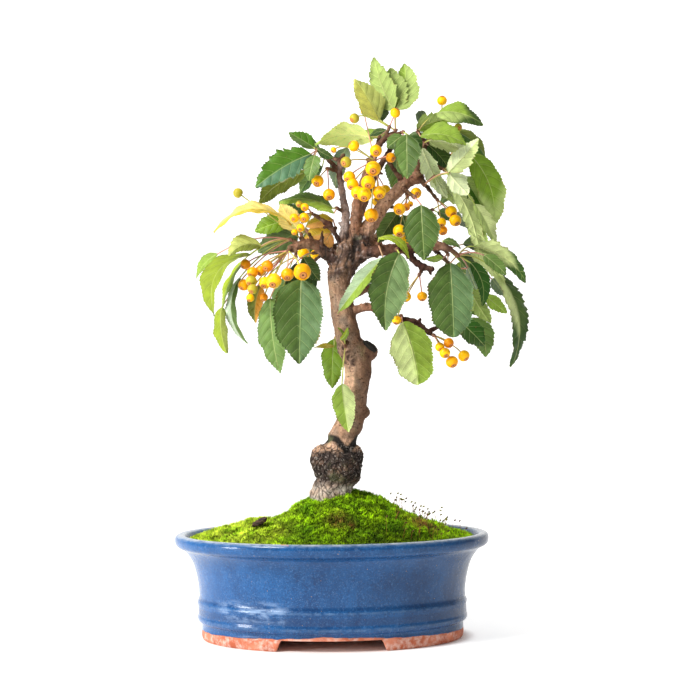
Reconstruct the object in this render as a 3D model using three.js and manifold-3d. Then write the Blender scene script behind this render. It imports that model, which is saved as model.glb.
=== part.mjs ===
// A crabapple bonsai in a blue oval pot. Millimetres, +Z up, origin at the middle of the underside.
//
// The crown is laid out as an elevation: x and z as seen from EYE, in the upright plane through the trunk,
// and y as the depth at which the point really lies. place() carries a point along its line of sight.

import * as THREE from "three";
import { mergeVertices } from "three/addons/utils/BufferGeometryUtils.js";
import Module from "manifold-3d";

// ---- driving dimensions ---------------------------------------------------------------------------------

const EYE = new THREE.Vector3(-1.3, -1200, 199);
const GAP = 0.35; // clearance between pieces that touch
const PAST = 1; // how far a cutting solid runs past the face that it cuts
const SEED = 41;

// pot: an oval whose half-width is everywhere OVAL less than its half-length
const POT_X = -17.2;
const OVAL = 25;
const POT_SIDES = 32;
const RIM_HALF_LENGTH = 125;
const POT_HEIGHT = 82.4;
const FOOT_HALF_LENGTH = 104.3;
const FOOT_HEIGHT = 8.7;
const FOOT_WIDTH = 19;
const FLOOR_TOP = 17;
const FEET_APART_BELOW = 84;
const FEET_APART_ABOVE = 75;
const DRAIN_RADIUS = 11;
const DRAIN_X = 48;
const DRAIN_SIDES = 12;

// its outside and inside walls, as [half-length, height]
const OUTSIDE = [
  [FOOT_HALF_LENGTH, 0], [104, 13], [107.2, 18], [107, 45], [110.6, 60], [117.5, 70],
  [RIM_HALF_LENGTH - 0.8, 75.5], [RIM_HALF_LENGTH, 79.5], [RIM_HALF_LENGTH - 3, POT_HEIGHT],
];
const INSIDE = [[96, FLOOR_TOP], [100.5, 47], [104.5, 61], [116, POT_HEIGHT + PAST]];

// drainage mesh and the wire that pins it
const MESH_SIDE = 34;
const MESH_THICK = 1.2;
const MESH_HOLES = 3;
const MESH_BAR = 2;
const WIRE_RADIUS = 0.8;
const WIRE_SIDES = 6;
const WIRE_LEG = 8.5;
const WIRE_TAIL = 13.5;

// soil and moss
const SOIL_SIDES = 20;
const SOIL_SHOULDER = 70;
const SOIL_HALF_LENGTH = 108; // at the shoulder, under the edge of the moss
const MOSS_HALF_LENGTH = 112;
const MOSS_THICK = 7;
const MOSS_EDGE = 79;
const MOSS_SWELL = 18;
const MOUND_TOP = 116;
const MOUND_X = -6;

// the stem's foot, and the hole that it stands in
const STEM_X = -17.5;
const STUB_RADIUS = 17;
const STUB_BOTTOM = 34;
const HOLE_CLEARANCE = 1.6;
const TRUNK_SIDES = 9;

// a flake of bark that lies on the moss
const FLAKE = { x: -73, y: -34, rise: 4.3, half: [7, 4, 3], tilt: -0.45 };

// leaves, stalks and fruit
const BLADE_THICK = 0.62;
const BLADE_FOLD = 0.2; // rise of each half from the midrib, as a share of its width
const TOOTH = 0.1; // depth of the toothed edge, as a share of the half width
const LONG_BLADE = 42; // three teeth a side; a blade over SHORT_BLADE has two, and a smaller one has one
const SHORT_BLADE = 18;
const STALK_RADIUS = 0.75;
const LONG_STALK = 20; // a longer one bows upwards by STALK_BOW of its length
const STALK_BOW = 0.2;
const BUD_RADIUS = 2;
const TWIG_RADIUS = 1.3;
const FRUIT_SWELL = 1.08; // makes up for the flats of a faceted ball
const FRUIT_BOW = 0.45;
const FRUIT_HANG = 0.6; // how far the weight of a fruit turns its stalk upright
const STANDING = 0.5; // a fruit whose bud lies this steeply below it stands on its stalk

// ---- layout of the tree ---------------------------------------------------------------------------------

// trunk and limbs: [x, z, y, radius] from the root end on
const TRUNK = [
  [-17.5, STUB_BOTTOM, 0, 12], [-17.5, 108, 0, STUB_RADIUS], [-16, 115, 0, 16], [-14, 121, 0, 14.6],
  [-13, 128, 0, 17.6], [-11, 141, 0, 18.6], [-9.5, 149, 0, 15], [-8.5, 155, 0, 12.6], [-1.4, 172, 0, 10.8],
  [3, 196, 0, 10.2], [5, 212, 0, 10.8], [3.4, 223, 0, 11.6], [-1.6, 233, 0, 10.6], [-6.6, 260, 0, 9.6],
  [-9.6, 281, 0, 9.2], [-8.6, 290, 0, 10.6], [-4.5, 298, 0, 12], [-0.5, 306, 1, 10.5], [2, 315, 1, 7],
];

const LIMBS = {
  left: [
    [-5, 296, 0, 8], [-13, 300, -3, 6.2], [-21, 307, -6, 5], [-29, 313, -9, 4.4], [-37, 313.5, -12, 3.8],
    [-44, 311, -15, 3],
  ],
  knobbly: [[-2, 308, 2, 5], [-7, 312, 3, 3.2], [-13, 322, 4, 2.8], [-17, 328, 4, 3], [-25, 334.5, 4, 1.8]],
  thorn: [[-23.5, 309, -7, 2.6], [-22.8, 317, -8, 1.8], [-22.4, 324, -8, 1]],
  upright: [
    [-3, 306, 3, 6], [-5.3, 316, 6, 4], [-3.7, 336, 9, 3.2], [-6, 352, 10, 2.8], [-8.5, 372, 10, 2.4],
    [-5, 386, 12, 1.8],
  ],
  middle: [
    [2, 306, 0, 8], [3.5, 320, 0, 5], [5, 340, -1, 4.3], [9, 356, -1, 4], [16, 376, 0, 3.2],
    [24, 393, 2, 2.6], [32, 400, 4, 2],
  ],
  right: [
    [3, 304, 0, 9], [8, 316, 2, 7], [16, 328, 5, 6.2], [27, 344, 9, 5.2], [43, 360, 14, 4.8],
    [51, 365, 16, 5], [58, 364, 17, 3.4],
  ],
  rightTwig: [[43, 361, 14, 2.4], [38.7, 368, 12, 1.8], [33, 376, 10, 1.6], [29, 381, 8, 1.2]],
  upperRight: [[51, 365, 16, 4], [56, 376, 24, 3], [62, 391, 28, 2.4], [68, 400, 26, 1.8]],
  level: [
    [4, 302, -2, 8], [14, 306, -8, 5], [27, 308, -14, 4.4], [42, 309, -20, 4], [55, 309.6, -24, 3.8],
    [70, 311, -27, 3.4], [80, 308, -29, 2.4],
  ],
  hanging: [[46, 308, -21, 2.8], [51, 299, -22, 2.6], [59, 294, -24, 2.4], [67, 292, -26, 1.8]],
  low: [
    [-5, 258, 0, 5], [3, 260, -3, 3.4], [15, 262.4, -8, 3.2], [27, 258, -14, 3], [39, 252, -18, 3],
    [52, 249, -22, 2.8], [61, 242, -24, 1.8],
  ],
  backLeft: [[-4, 300, 4, 7], [-14, 312, 24, 4.4], [-28, 322, 48, 3.4], [-40, 326, 66, 2]],
  backRight: [[4, 302, 6, 7], [20, 316, 30, 4.6], [40, 330, 52, 3.6], [60, 338, 64, 2.2]],
  backTop: [[0, 312, 8, 5], [8, 340, 26, 4], [20, 368, 40, 3], [32, 388, 46, 1.8]],
  backLow: [[-6, 270, 4, 5], [10, 276, 22, 3.2], [22, 280, 44, 2.4], [30, 282, 58, 1.6]],
};

// knots, burrs and the pruned stub: [x, z, y, radius across, radius along z]
const KNOTS = [
  [-22, 141, -4, 11, 12], [-3, 143, 0, 11, 11], [-8, 131, -9, 10, 8], [-15, 133, 8, 11, 9],
  [-4, 127, 4, 9, 7], [12, 227, 0, 9, 8.5], [10, 178, 0, 4.4, 5], [-3, 309, -4, 10, 9],
  [9, 311, -3, 8, 9], [54, 366, 15, 6, 5], [-17, 329, 4, 4.2, 4], [-47, 310, -15, 4, 3.4],
  [58, 294, -24, 3.6, 3.2], [45, 250, -20, 4, 3.6],
];

// A spray is [name, colour, point on the wood, bud, leaves]; both points are [x, z, y].
// A leaf is [base x, z, tip x, z, base y, tip y, width, turn, sway, arch]. turn is the angle about its length
// from facing EYE with the upper side; sway and arch are the midrib's bow in and out of the blade, both as
// hundredths of its length.
const SPRAYS = [
  ["leaves_left_low", "green", [-44, 311, -15], [-44, 303, -24], [
    [-40, 285, -42, 217, -44, -50, 39, 0, 0, 6],
    [-65, 270, -58, 209, -26, -30, 25, 25, 0, 6],
    [-72, 281, -77, 250, -12, -9, 15, 30, 5, 5],
  ]],
  ["leaves_left_tip", "lime", [-40, 313, -13], [-48, 317, -11], [
    [-72, 312, -98, 304, -18, -28, 20, 45, 10, 15],
    [-81, 305, -110, 256, -14, -24, 30, 55, 0, 30],
    [-107, 306, -124, 286, 6, 12, 14, 50, 0, 12],
    [-84, 303, -104, 261, -2, -4, 20, 68, 0, 8],
    [-104, 263, -100, 226, 0, -4, 17, 45, 4, 5],
    [-89, 287, -84, 233, -10, -6, 18, 60, 8, 16],
  ]],
  ["leaves_left_inner", "green", [-21, 307, -6], [-30, 306, 6], [
    [-38, 303, -25, 283, 12, 16, 15, 20, 0, 6],
    [-44, 298, -47, 258, 22, 28, 26, -40, 0, 8],
  ]],
  ["leaves_upper_left", "green", [-8.5, 372, 10], [-26, 389, 2], [
    [-31, 386, -76, 359, -6, -16, 24, 15, 3, 5],
    [-29, 391, -49, 403, 2, 4, 17, 40, -4, 6],
    [-28, 385, -33, 364, -12, -18, 14, 20, 0, 6],
    [-26, 390, -13, 383, -2, -4, 9, 50, 0, 8],
    [-36, 371, -75, 345, 6, 2, 21, 135, -4, 10],
  ]],
  ["leaves_shoulder", "green", [-3.7, 338, 9], [-10.5, 342, 5], [
    [-14, 342, -58, 348, 3, 5, 21, 52, 6, 8],
    [-13, 338, -27, 341, -8, -10, 6, 45, 5, 10],
  ]],
  ["leaves_left_back", "green", [-29, 313, -9], [-33, 321, 3], [
    [-50, 333, -77, 324, 11, 9, 18, 20, 0, 5],
    [-42, 323, -75, 307, 14, 12, 22, -10, 0, 5],
  ]],
  ["autumn_leaves_left", "autumn", [-37, 313.5, -12], [-39.5, 321, -14], [
    [-47, 329, -110, 323, -12, -22, 24, 65, 0, 26],
    [-43, 325, -56, 346, -8, -6, 18, -20, 0, 8],
  ]],
  ["autumn_leaves_middle", "autumn", [-13, 322, 4], [-12, 326, 14], [
    [-14, 333, -36, 328, 18, 16, 16, 40, 0, 5],
    [-15, 322, -38, 318, 15, 17, 20, 15, 0, 5],
    [-16, 322, -24, 307, 13, 14, 12, 10, 0, 5],
  ]],
  ["leaves_top_left", "lime", [20, 385, 1], [24, 399, 10], [
    [19, 398, -28, 393, 9, 14, 30, 118, 0, 14],
    [30, 404, 16, 400, 20, 26, 14, 60, 0, 6],
    [-2, 391, -12, 358, 24, 22, 18, 40, 5, 5],
  ]],
  ["leaves_top", "lime", [32, 400, 4], [37, 404, 4], [
    [36, 423, 20, 464, 4, 2, 18, 150, 6, 4],
    [37, 423, 46, 458, 4, 8, 22, 160, -8, 4],
    [24, 413, 4, 446, 4, -2, 26, 30, 0, 6],
    [24, 412, 29, 435, 10, 16, 16, 60, 0, 5],
  ]],
  ["leaves_top_front", "green", [30, 398, 3], [43, 403, -14], [
    [46, 401, 46, 365, -20, -26, 20, 5, 0, 6],
    [43, 400, 30, 390, -14, -16, 14, 20, 0, 6],
    [48, 400, 58, 389, -16, -20, 12, -20, 0, 5],
  ]],
  ["leaves_top_right", "lime", [62, 391, 28], [55, 403, 2], [
    [54, 405, 82, 413, 2, -6, 20, -125, 0, 10],
    [70, 418, 108, 408, -6, -14, 24, -38, 0, 14],
    [57, 399, 94, 392, -10, -20, 22, -40, 0, 16],
    [56, 410, 60, 420, 12, 16, 12, 30, 0, 5],
  ]],
  ["leaves_crown_right", "pale", [58, 381, 25], [60, 394, 12], [
    [64, 396, 97, 383, 4, 2, 22, -120, 0, 12],
    [63, 392, 81, 370, 17, 22, 20, -35, 0, 8],
    [82, 404, 111, 379, 10, 18, 22, -50, 0, 12],
    [58, 390, 78, 349, 2, -2, 15, 160, 0, 6],
  ]],
  ["leaves_right_pale", "pale", [58, 364, 17], [59.5, 360, -10], [
    [79, 370, 104, 397, -18, -16, 22, 160, 0, 5],
    [80, 369, 93, 355, -16, -18, 22, 170, 0, 5],
  ]],
  ["leaves_right_fall", "green", [58, 381, 25], [76, 372, 8], [
    [99, 384, 117, 323, -6, 8, 30, -20, -10, 8],
    [91, 366, 107, 339, 0, 2, 18, -25, 0, 6],
    [76, 362, 100, 316, -12, -16, 17, 160, 0, 6],
    [95, 336, 110, 313, -6, -10, 14, 150, 0, 5],
    [100, 344, 117, 309, -10, -12, 16, -40, 0, 6],
  ]],
  ["leaves_right_heart", "green", [43, 358, 12], [52, 350, -36], [
    [57, 344, 59, 299, -52, -58, 27, 5, 0, 6],
  ]],
  ["leaves_right_inner", "green", [27, 344, 9], [36, 342, 18], [
    [38, 338, 22, 314, 20, 24, 18, 10, 0, 5],
    [42, 336, 46, 321, 16, 18, 12, 20, 0, 5],
  ]],
  ["leaves_right_tip", "green", [80, 308, -29], [86, 303, -34], [
    [80, 297, 82, 237, -44, -50, 35, 0, 0, 5],
    [96, 297, 106, 262, -32, -34, 20, -25, -12, 6],
    [107, 303, 125, 287, -24, -28, 12, -20, 0, 5],
    [99, 310, 142, 281, -14, -24, 24, -118, 0, 14],
    [96, 305, 124, 273, -8, -12, 18, -120, 0, 12],
    [120, 279, 128, 212, -8, -10, 22, -65, -4, 10],
    [94, 293, 101, 275, -18, -16, 10, 20, 0, 5],
  ]],
  ["leaves_right_under", "pale", [64, 311, -26], [84, 292, 0], [
    [93, 281, 112, 248, 2, -2, 18, 150, 0, 6],
    [113, 284, 124, 270, 10, 14, 11, 0, 0, 5],
    [113, 268, 124, 258, 4, 4, 14, 20, 0, 5],
    [90, 268, 107, 256, 10, 12, 14, 10, 0, 5],
  ]],
  ["leaves_right_lime", "lime", [74, 310, -28], [78, 304, -23], [
    [74, 301, 60, 301, -22, -24, 12, 110, 0, -8],
    [74, 315, 89, 309, -16, -16, 14, -60, 0, 12],
  ]],
  ["leaves_low_tip", "green", [61, 242, -24], [72, 246, -18], [
    [88, 249, 107, 230, -18, -20, 18, -10, 0, 6],
    [94, 252, 108, 221, -4, -6, 20, -15, -10, 6],
  ]],
  ["leaves_middle_front", "lime", [27, 308, -14], [22, 313, -25], [
    [26, 302, -11, 257, -27, -38, 22, 55, 0, 6],
    [23, 318, 47, 301, -28, -34, 12, -50, 0, 25],
  ]],
  ["leaves_right_front", "green", [35, 308, -17], [37, 308.5, -42], [
    [39, 305, 25, 243, -52, -58, 34, -5, 6, 5],
  ]],
  ["leaves_low_front", "pale", [39, 252, -18], [40, 255, -27], [
    [41, 250, 53, 199, -32, -38, 33, 170, -4, 4],
  ]],
  ["leaves_trunk_front", "lime", [-3, 236, -6], [-5, 231, -16], [
    [-8, 201, -3, 162, -16, -18, 18, 10, 0, 5],
  ]],
  ["leaves_trunk_back", "green", [-3, 238, 4], [-12, 241, 14], [
    [-14, 237, -16, 197, 18, 20, 19, 15, 0, 5],
    [-14, 231, -30, 230, 12, 10, 8, 60, 0, 5],
  ]],
  ["leaves_back_left", "green", [-40, 326, 66], [-46, 328, 74], [
    [-50, 325, -70, 310, 76, 86, 24, 50, 0, 10],
    [-47, 321, -56, 298, 82, 92, 24, 70, 0, 8],
    [-40, 332, -54, 345, 68, 72, 20, 50, 0, 8],
    [-36, 322, -34, 294, 86, 92, 22, -60, 0, 8],
  ]],
  ["leaves_back_low", "green", [-14, 312, 24], [-34, 296, 44], [
    [-38, 286, -44, 226, 52, 60, 32, -50, 0, 8],
    [-44, 288, -64, 262, 44, 50, 24, 65, 0, 8],
    [-30, 288, -30, 246, 38, 42, 20, 60, 0, 6],
  ]],
  ["leaves_back_right", "green", [60, 338, 64], [66, 340, 70], [
    [70, 338, 98, 322, 74, 84, 26, -60, 0, 10],
    [62, 334, 58, 302, 78, 86, 24, 60, 0, 8],
    [73, 344, 98, 352, 66, 72, 26, -70, 0, 10],
  ]],
  ["leaves_back_top", "green", [32, 388, 46], [37, 393, 50], [
    [44, 392, 62, 374, 58, 68, 28, -60, 0, 10],
    [38, 386, 42, 352, 60, 68, 24, 50, 0, 8],
    [47, 398, 76, 393, 48, 56, 26, -70, 0, 12],
    [31, 398, 4, 397, 44, 50, 24, 60, 0, 10],
    [54, 394, 86, 372, 62, 70, 28, -50, 0, 8],
  ]],
  ["leaves_back_inner", "green", [30, 282, 58], [30, 288, 64], [
    [28, 281, 24, 250, 68, 76, 26, 60, 0, 8],
    [24, 294, 10, 272, 62, 70, 22, 70, 0, 8],
  ]],
  ["leaves_back_far_right", "green", [44, 331, 54], [78, 308, 56], [
    [78, 298, 80, 246, 62, 70, 30, -55, 0, 8],
    [84, 304, 110, 280, 56, 62, 26, -60, 0, 10],
    [90, 312, 114, 304, 48, 54, 24, -60, 0, 10],
    [88, 298, 98, 262, 44, 50, 22, 50, 0, 8],
  ]],
  ["leaves_back_upper_left", "green", [-7, 380, 11], [-20, 384, 30], [
    [-26, 382, -60, 366, 34, 42, 24, 60, 0, 8],
    [-24, 390, -46, 398, 26, 30, 18, 60, 0, 6],
    [-22, 376, -40, 354, 38, 44, 20, 50, 0, 8],
  ]],
];

// A bunch is [name, point on the wood, bud, fruits]; a fruit is [x, z, y, diameter].
const BUNCHES = [
  ["fruit_left", [-44, 311, -15], [-50, 308, -20], [
    [-39, 291, -54, 13.2], [-51, 289, -40, 10], [-62, 284, -42, 12], [-69, 282.5, -34, 9.6],
    [-79, 291, -32, 8.8], [-72, 292, -26, 7.2], [-67, 296, -34, 8], [-84.5, 297.5, -13, 7.2],
    [-86, 281, -26, 8], [-80, 284, -36, 8.8], [-79, 277.5, -42, 8], [-81, 270.5, -32, 6.4],
    [-70, 271, -21.5, 6.4],
  ]],
  ["fruit_left_lone", [-37, 313.5, -12], [-40, 318, 2], [[-90, 355, 0, 8]]],
  ["fruit_upper_left", [-25, 334.5, 4], [-31, 338, -2], [
    [-41, 345.5, -16, 5.6], [-36.5, 343, -18, 6.4], [-37, 334.5, -20, 8], [-45, 334.5, -22, 7.2],
    [-40, 326.5, -22, 6.4],
  ]],
  ["fruit_upper", [-8.5, 372, 10], [-18, 374, 4], [[-26, 364, -10, 9.6], [-17, 353, -13, 9.6]]],
  ["fruit_middle", [16, 376, 0], [20, 380, -9], [
    [3.5, 392, -16, 8.8], [21, 388, -22, 9.6], [-3, 379, -20, 8.8], [-0.5, 367, -20, 9.6],
    [2, 361, -22, 9.6], [18.7, 373.6, -26, 12], [14.7, 362.4, -30, 11.2], [5.9, 354.4, -24, 10.4],
    [11.5, 352.8, -32, 11.2], [23.5, 354.4, -28, 10.4], [17, 336, -20, 11.2], [33, 382.4, -14, 8],
  ]],
  ["fruit_top", [28, 397, 3], [32, 407, -6], [[4, 414.4, -10, 8], [37, 418.4, -12, 8]]],
  ["fruit_top_right", [68, 400, 26], [74, 404, 18], [
    [74.7, 428, 6, 8], [87.5, 406.4, 2, 6.4], [83.5, 383.2, 26, 6.4],
  ]],
  ["fruit_right_inner", [43, 360, 14], [46, 351, 4], [
    [39.5, 340.8, -14, 9.6], [45, 342.4, -8, 6.4], [39.5, 323.2, -16, 10.4], [53, 353.6, -8, 8.8],
  ]],
  ["fruit_right_outer", [58, 364, 17], [70, 348, 14], [
    [73, 329.6, 2, 8], [74, 323.2, 6, 8], [81, 338.4, 6, 9.6], [84.3, 331.2, 3, 9.6],
  ]],
  ["fruit_right_spur", [59, 294, -24], [55, 288, -28], [[43.5, 270.4, -30, 9.2], [57, 270.4, -26, 8]]],
  ["fruit_low", [61, 242, -24], [66, 239, -28], [
    [77.9, 232.8, -32, 8], [70.7, 229.6, -36, 7.2], [74.7, 224.8, -38, 8.4], [80.3, 217.6, -34, 9.6],
    [89.9, 222.4, -30, 9.2],
  ]],
  ["fruit_back_left", [-28, 322, 48], [-32, 316, 58], [
    [-38, 306, 66, 10], [-28, 305, 62, 9], [-36, 296, 74, 9.5],
  ]],
  ["fruit_back_right", [40, 330, 52], [48, 330, 62], [
    [50, 322, 70, 10], [44, 316, 64, 9], [54, 309, 64, 9.5],
  ]],
  ["fruit_back_top", [20, 368, 40], [22, 368, 52], [[16, 358, 60, 10], [28, 356, 62, 9.5], [22, 347, 54, 9]]],
];

const COLOURS = {
  green: { color: "#4f7a35", roughness: 0.5 },
  lime: { color: "#a2c23f", roughness: 0.55 },
  pale: { color: "#bdd485", roughness: 0.65 },
  autumn: { color: "#efd372", roughness: 0.6 },
  fruit: { color: "#f4b80c", roughness: 0.35 },
  bark: { color: "#7d5c50", roughness: 0.9 },
  flake: { color: "#3a2a22", roughness: 0.95 },
  moss: { color: "#5f9a1c", roughness: 1 },
  soil: { color: "#4a3a2c", roughness: 1 },
  glaze: { color: "#3c66a0", roughness: 0.25 },
  mesh: { color: "#2b2b2b", roughness: 0.7 },
  wire: { color: "#a9a9a4", roughness: 0.4, metalness: 0.9 },
};

// ---- solids and meshes ----------------------------------------------------------------------------------

const wasm = await Module();
wasm.setup();

function solid(geometry) {
  const bare = new THREE.BufferGeometry();
  bare.setAttribute("position", geometry.getAttribute("position"));
  bare.setIndex(geometry.getIndex());
  const welded = mergeVertices(bare, 1e-4);
  const vertProperties = new Float32Array(welded.getAttribute("position").array);
  const triVerts = new Uint32Array(welded.getIndex().array);
  return new wasm.Manifold(new wasm.Mesh({ numProp: 3, vertProperties, triVerts }));
}

function fuse(solids) {
  return solids.reduce((whole, part) => whole.add(part));
}

function surface(points, triangles) {
  const geometry = new THREE.BufferGeometry();
  geometry.setAttribute("position", new THREE.Float32BufferAttribute(points.flatMap((p) => p.toArray()), 3));
  geometry.setIndex(triangles.flat());
  return geometry;
}

const bonsai = new THREE.Group();

function show(name, colour, whole) {
  const { vertProperties, triVerts } = whole.getMesh();
  const geometry = new THREE.BufferGeometry();
  geometry.setAttribute("position", new THREE.BufferAttribute(vertProperties, 3));
  geometry.setIndex(new THREE.BufferAttribute(triVerts, 1));
  geometry.computeVertexNormals();
  const mesh = new THREE.Mesh(geometry, new THREE.MeshStandardMaterial(COLOURS[colour]));
  mesh.name = name;
  bonsai.add(mesh);
}

// ---- shared geometry ------------------------------------------------------------------------------------

function seeded(seed) {
  let state = seed;
  return () => {
    state = (state * 1664525 + 1013904223) % 4294967296;
    return state / 4294967296;
  };
}

function place(x, z, y) {
  const reach = 1 - y / EYE.y;
  return new THREE.Vector3(EYE.x + (x - EYE.x) * reach, y, EYE.z + (z - EYE.z) * reach);
}

function cross(a, b) {
  return new THREE.Vector3().crossVectors(a, b).normalize();
}

// Rings of points joined into one closed skin; each end is closed by a fan.
function loft(rings) {
  const sides = rings[0].length;
  const triangles = [];
  for (let i = 0; i + 1 < rings.length; i++) {
    for (let k = 0; k < sides; k++) {
      const a = i * sides + k;
      const b = i * sides + ((k + 1) % sides);
      triangles.push([a, b, b + sides], [a, b + sides, a + sides]);
    }
  }
  const last = (rings.length - 1) * sides;
  for (let k = 1; k + 1 < sides; k++) {
    triangles.push([0, k + 1, k], [last, last + k, last + k + 1]);
  }
  return surface(rings.flat(), triangles);
}

// A round limb through points with a radius at each, its sides roughened by up to `rough` of the radius.
function limb(points, radii, sides, rough = 0, random = null) {
  let across = cross(
    new THREE.Vector3().subVectors(points[1], points[0]),
    new THREE.Vector3(0.31, 1, 0.17),
  );
  const rings = points.map((point, i) => {
    const ahead = points[Math.min(i + 1, points.length - 1)];
    const behind = points[Math.max(i - 1, 0)];
    const along = new THREE.Vector3().subVectors(ahead, behind).normalize();
    across = cross(cross(along, across), along);
    const other = cross(along, across);
    return Array.from({ length: sides }, (_, k) => {
      const angle = (2 * Math.PI * k) / sides;
      const radius = radii[i] * (random ? 1 + rough * (2 * random() - 1) : 1);
      return point.clone()
        .addScaledVector(across, radius * Math.cos(angle))
        .addScaledVector(other, radius * Math.sin(angle));
    });
  });
  return solid(loft(rings));
}

// A bud is a small double pyramid with one point turned to the twig that carries it.
function bud(centre, twigStart) {
  const along = new THREE.Vector3().subVectors(twigStart, centre).normalize();
  const turn = new THREE.Quaternion().setFromUnitVectors(new THREE.Vector3(0, 1, 0), along);
  const body = new THREE.OctahedronGeometry(BUD_RADIUS, 0).applyQuaternion(turn);
  return solid(body.translate(...centre.toArray()));
}

// ---- leaves ---------------------------------------------------------------------------------------------

// Half width at t along the blade, as a share of the widest: round at the base and drawn out at the tip.
function outline(t) {
  return (t ** 0.62 * (1 - t) ** 0.9) / 0.358;
}

function leafFrame(row) {
  const [x0, z0, x1, z1, y0, y1, width, turn, sway, arch] = row;
  const base = place(x0, z0, y0);
  const tip = place(x1, z1, y1);
  const length = base.distanceTo(tip);
  const along = tip.clone().sub(base).normalize();
  const toEye = new THREE.Vector3(0, -1, 0);
  const facing = toEye.addScaledVector(along, -toEye.dot(along)).normalize();
  const side = cross(along, facing);
  const angle = THREE.MathUtils.degToRad(turn);
  const up = facing.clone().multiplyScalar(Math.cos(angle)).addScaledVector(side, Math.sin(angle));
  const right = cross(along, up);
  const middle = base.clone().lerp(tip, 0.5)
    .addScaledVector(right, (2 * sway * length) / 100)
    .addScaledVector(up, (2 * arch * length) / 100);
  return { curve: new THREE.QuadraticBezierCurve3(base, middle, tip), up, length, half: width / 2 };
}

// A leaf is one ribbon of paired points, upper and lower: its stalk from the bud, and then the blade.
function leaf(row, spur) {
  const { curve, up, length, half } = leafFrame(row);
  const teeth = 1 + (length > SHORT_BLADE) + (length > LONG_BLADE);
  const base = curve.getPoint(0);
  const reach = spur.distanceTo(base);
  const bends = reach > LONG_STALK ? 2 : 1;
  const crook = spur.clone().lerp(base, 0.5);
  crook.z += reach > LONG_STALK ? STALK_BOW * reach : 0;
  const stem = new THREE.QuadraticBezierCurve3(spur, crook, base);
  const points = [];
  const addPair = (path, t, offset, thickness) => {
    const along = path.getTangent(t);
    const right = cross(along, up);
    const normal = cross(right, along);
    const at = path.getPoint(t)
      .addScaledVector(right, offset)
      .addScaledVector(normal, path === curve ? BLADE_FOLD * Math.abs(offset) : 0);
    points.push(
      at.clone().addScaledVector(normal, thickness / 2),
      at.clone().addScaledVector(normal, -thickness / 2),
    );
    return points.length / 2 - 1;
  };
  const triangles = [];
  const face = (a, b, c) => {
    triangles.push([2 * a, 2 * b, 2 * c], [2 * a + 1, 2 * c + 1, 2 * b + 1]);
  };
  const wall = (a, b) => triangles.push([2 * a, 2 * a + 1, 2 * b + 1], [2 * a, 2 * b + 1, 2 * b]);

  // the two edges of the stalk, up to the foot of the blade
  const stalk = Array.from({ length: bends + 1 }, (_, i) =>
    [STALK_RADIUS, -STALK_RADIUS].map((out) => addPair(stem, i / bends, out, 2 * STALK_RADIUS)));
  wall(stalk[0][1], stalk[0][0]);
  for (let i = 0; i < bends; i++) {
    const [right, left] = stalk[i];
    const [nextRight, nextLeft] = stalk[i + 1];
    face(left, right, nextRight);
    face(left, nextRight, nextLeft);
    wall(right, nextRight);
    wall(nextLeft, left);
  }

  // the blade: between each two cuts of its edge stands a tooth
  let [right, left] = stalk[bends];
  let rib = null;
  for (let i = 1; i <= teeth; i++) {
    const t = i / teeth;
    const before = t - 0.5 / teeth;
    const toothOut = half * outline(before) * (1 + TOOTH);
    const cutOut = half * outline(t) * (1 - TOOTH);
    const rightTooth = addPair(curve, before, toothOut, BLADE_THICK);
    const leftTooth = addPair(curve, before, -toothOut, BLADE_THICK);
    const nextRib = addPair(curve, t, 0, BLADE_THICK);
    if (rib === null) {
      face(right, nextRib, left);
      face(right, rightTooth, nextRib);
      face(left, nextRib, leftTooth);
    } else {
      face(rib, right, rightTooth);
      face(rib, rightTooth, nextRib);
      face(rib, leftTooth, left);
      face(rib, nextRib, leftTooth);
    }
    wall(right, rightTooth);
    wall(leftTooth, left);
    rib = nextRib;
    [right, left] = i === teeth
      ? [rib, rib]
      : [cutOut, -cutOut].map((out) => addPair(curve, t, out, BLADE_THICK));
    wall(rightTooth, right);
    wall(left, leftTooth);
    if (i < teeth) {
      face(rib, rightTooth, right);
      face(rib, left, leftTooth);
    }
  }
  return solid(surface(points, triangles));
}

function makeSprays() {
  for (const [name, colour, start, at, leaves] of SPRAYS) {
    const spur = place(...at);
    show(name, colour, fuse([bud(spur, place(...start)), ...leaves.map((row) => leaf(row, spur))]));
  }
}

// ---- fruit ----------------------------------------------------------------------------------------------

// A pome on its stalk, which leaves it opposite the eye and bows over towards the bud.
function pome([x, z, y, diameter], spur) {
  const centre = place(x, z, y);
  const radius = (FRUIT_SWELL * diameter) / 2;
  const axis = new THREE.Vector3().subVectors(spur, centre).normalize();
  if (axis.z > -STANDING) {
    axis.z = Math.abs(axis.z) + FRUIT_HANG;
  }
  const turn = new THREE.Quaternion().setFromUnitVectors(new THREE.Vector3(0, 1, 0), axis.normalize());
  const ball = new THREE.IcosahedronGeometry(radius, 0).scale(1, 0.95, 1)
    .applyQuaternion(turn)
    .translate(...centre.toArray());
  const reach = spur.distanceTo(centre);
  const bow = centre.clone().addScaledVector(axis, FRUIT_BOW * reach);
  const stem = new THREE.QuadraticBezierCurve3(spur, bow, centre);
  const points = stem.getPoints(reach > LONG_STALK ? 2 : 1);
  return [solid(ball), limb(points, points.map(() => STALK_RADIUS), 3)];
}

function makeBunches() {
  for (const [name, start, at, fruits] of BUNCHES) {
    const spur = place(...at);
    show(name, "fruit", fuse([bud(spur, place(...start)), ...fruits.flatMap((row) => pome(row, spur))]));
  }
}

// ---- wood -----------------------------------------------------------------------------------------------

function woodyLimb(rows, sides, rough, random) {
  const points = rows.map(([x, z, y]) => place(x, z, y));
  return limb(points, rows.map((row) => row[3]), sides, rough, random);
}

// The twig that carries a bud stops just short of it.
function twig(start, at) {
  const from = place(...start);
  const to = place(...at);
  const along = to.clone().sub(from).normalize();
  const end = to.addScaledVector(along, -(BUD_RADIUS + GAP));
  return limb([from, end], [TWIG_RADIUS + 0.5, TWIG_RADIUS], 3);
}

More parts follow.
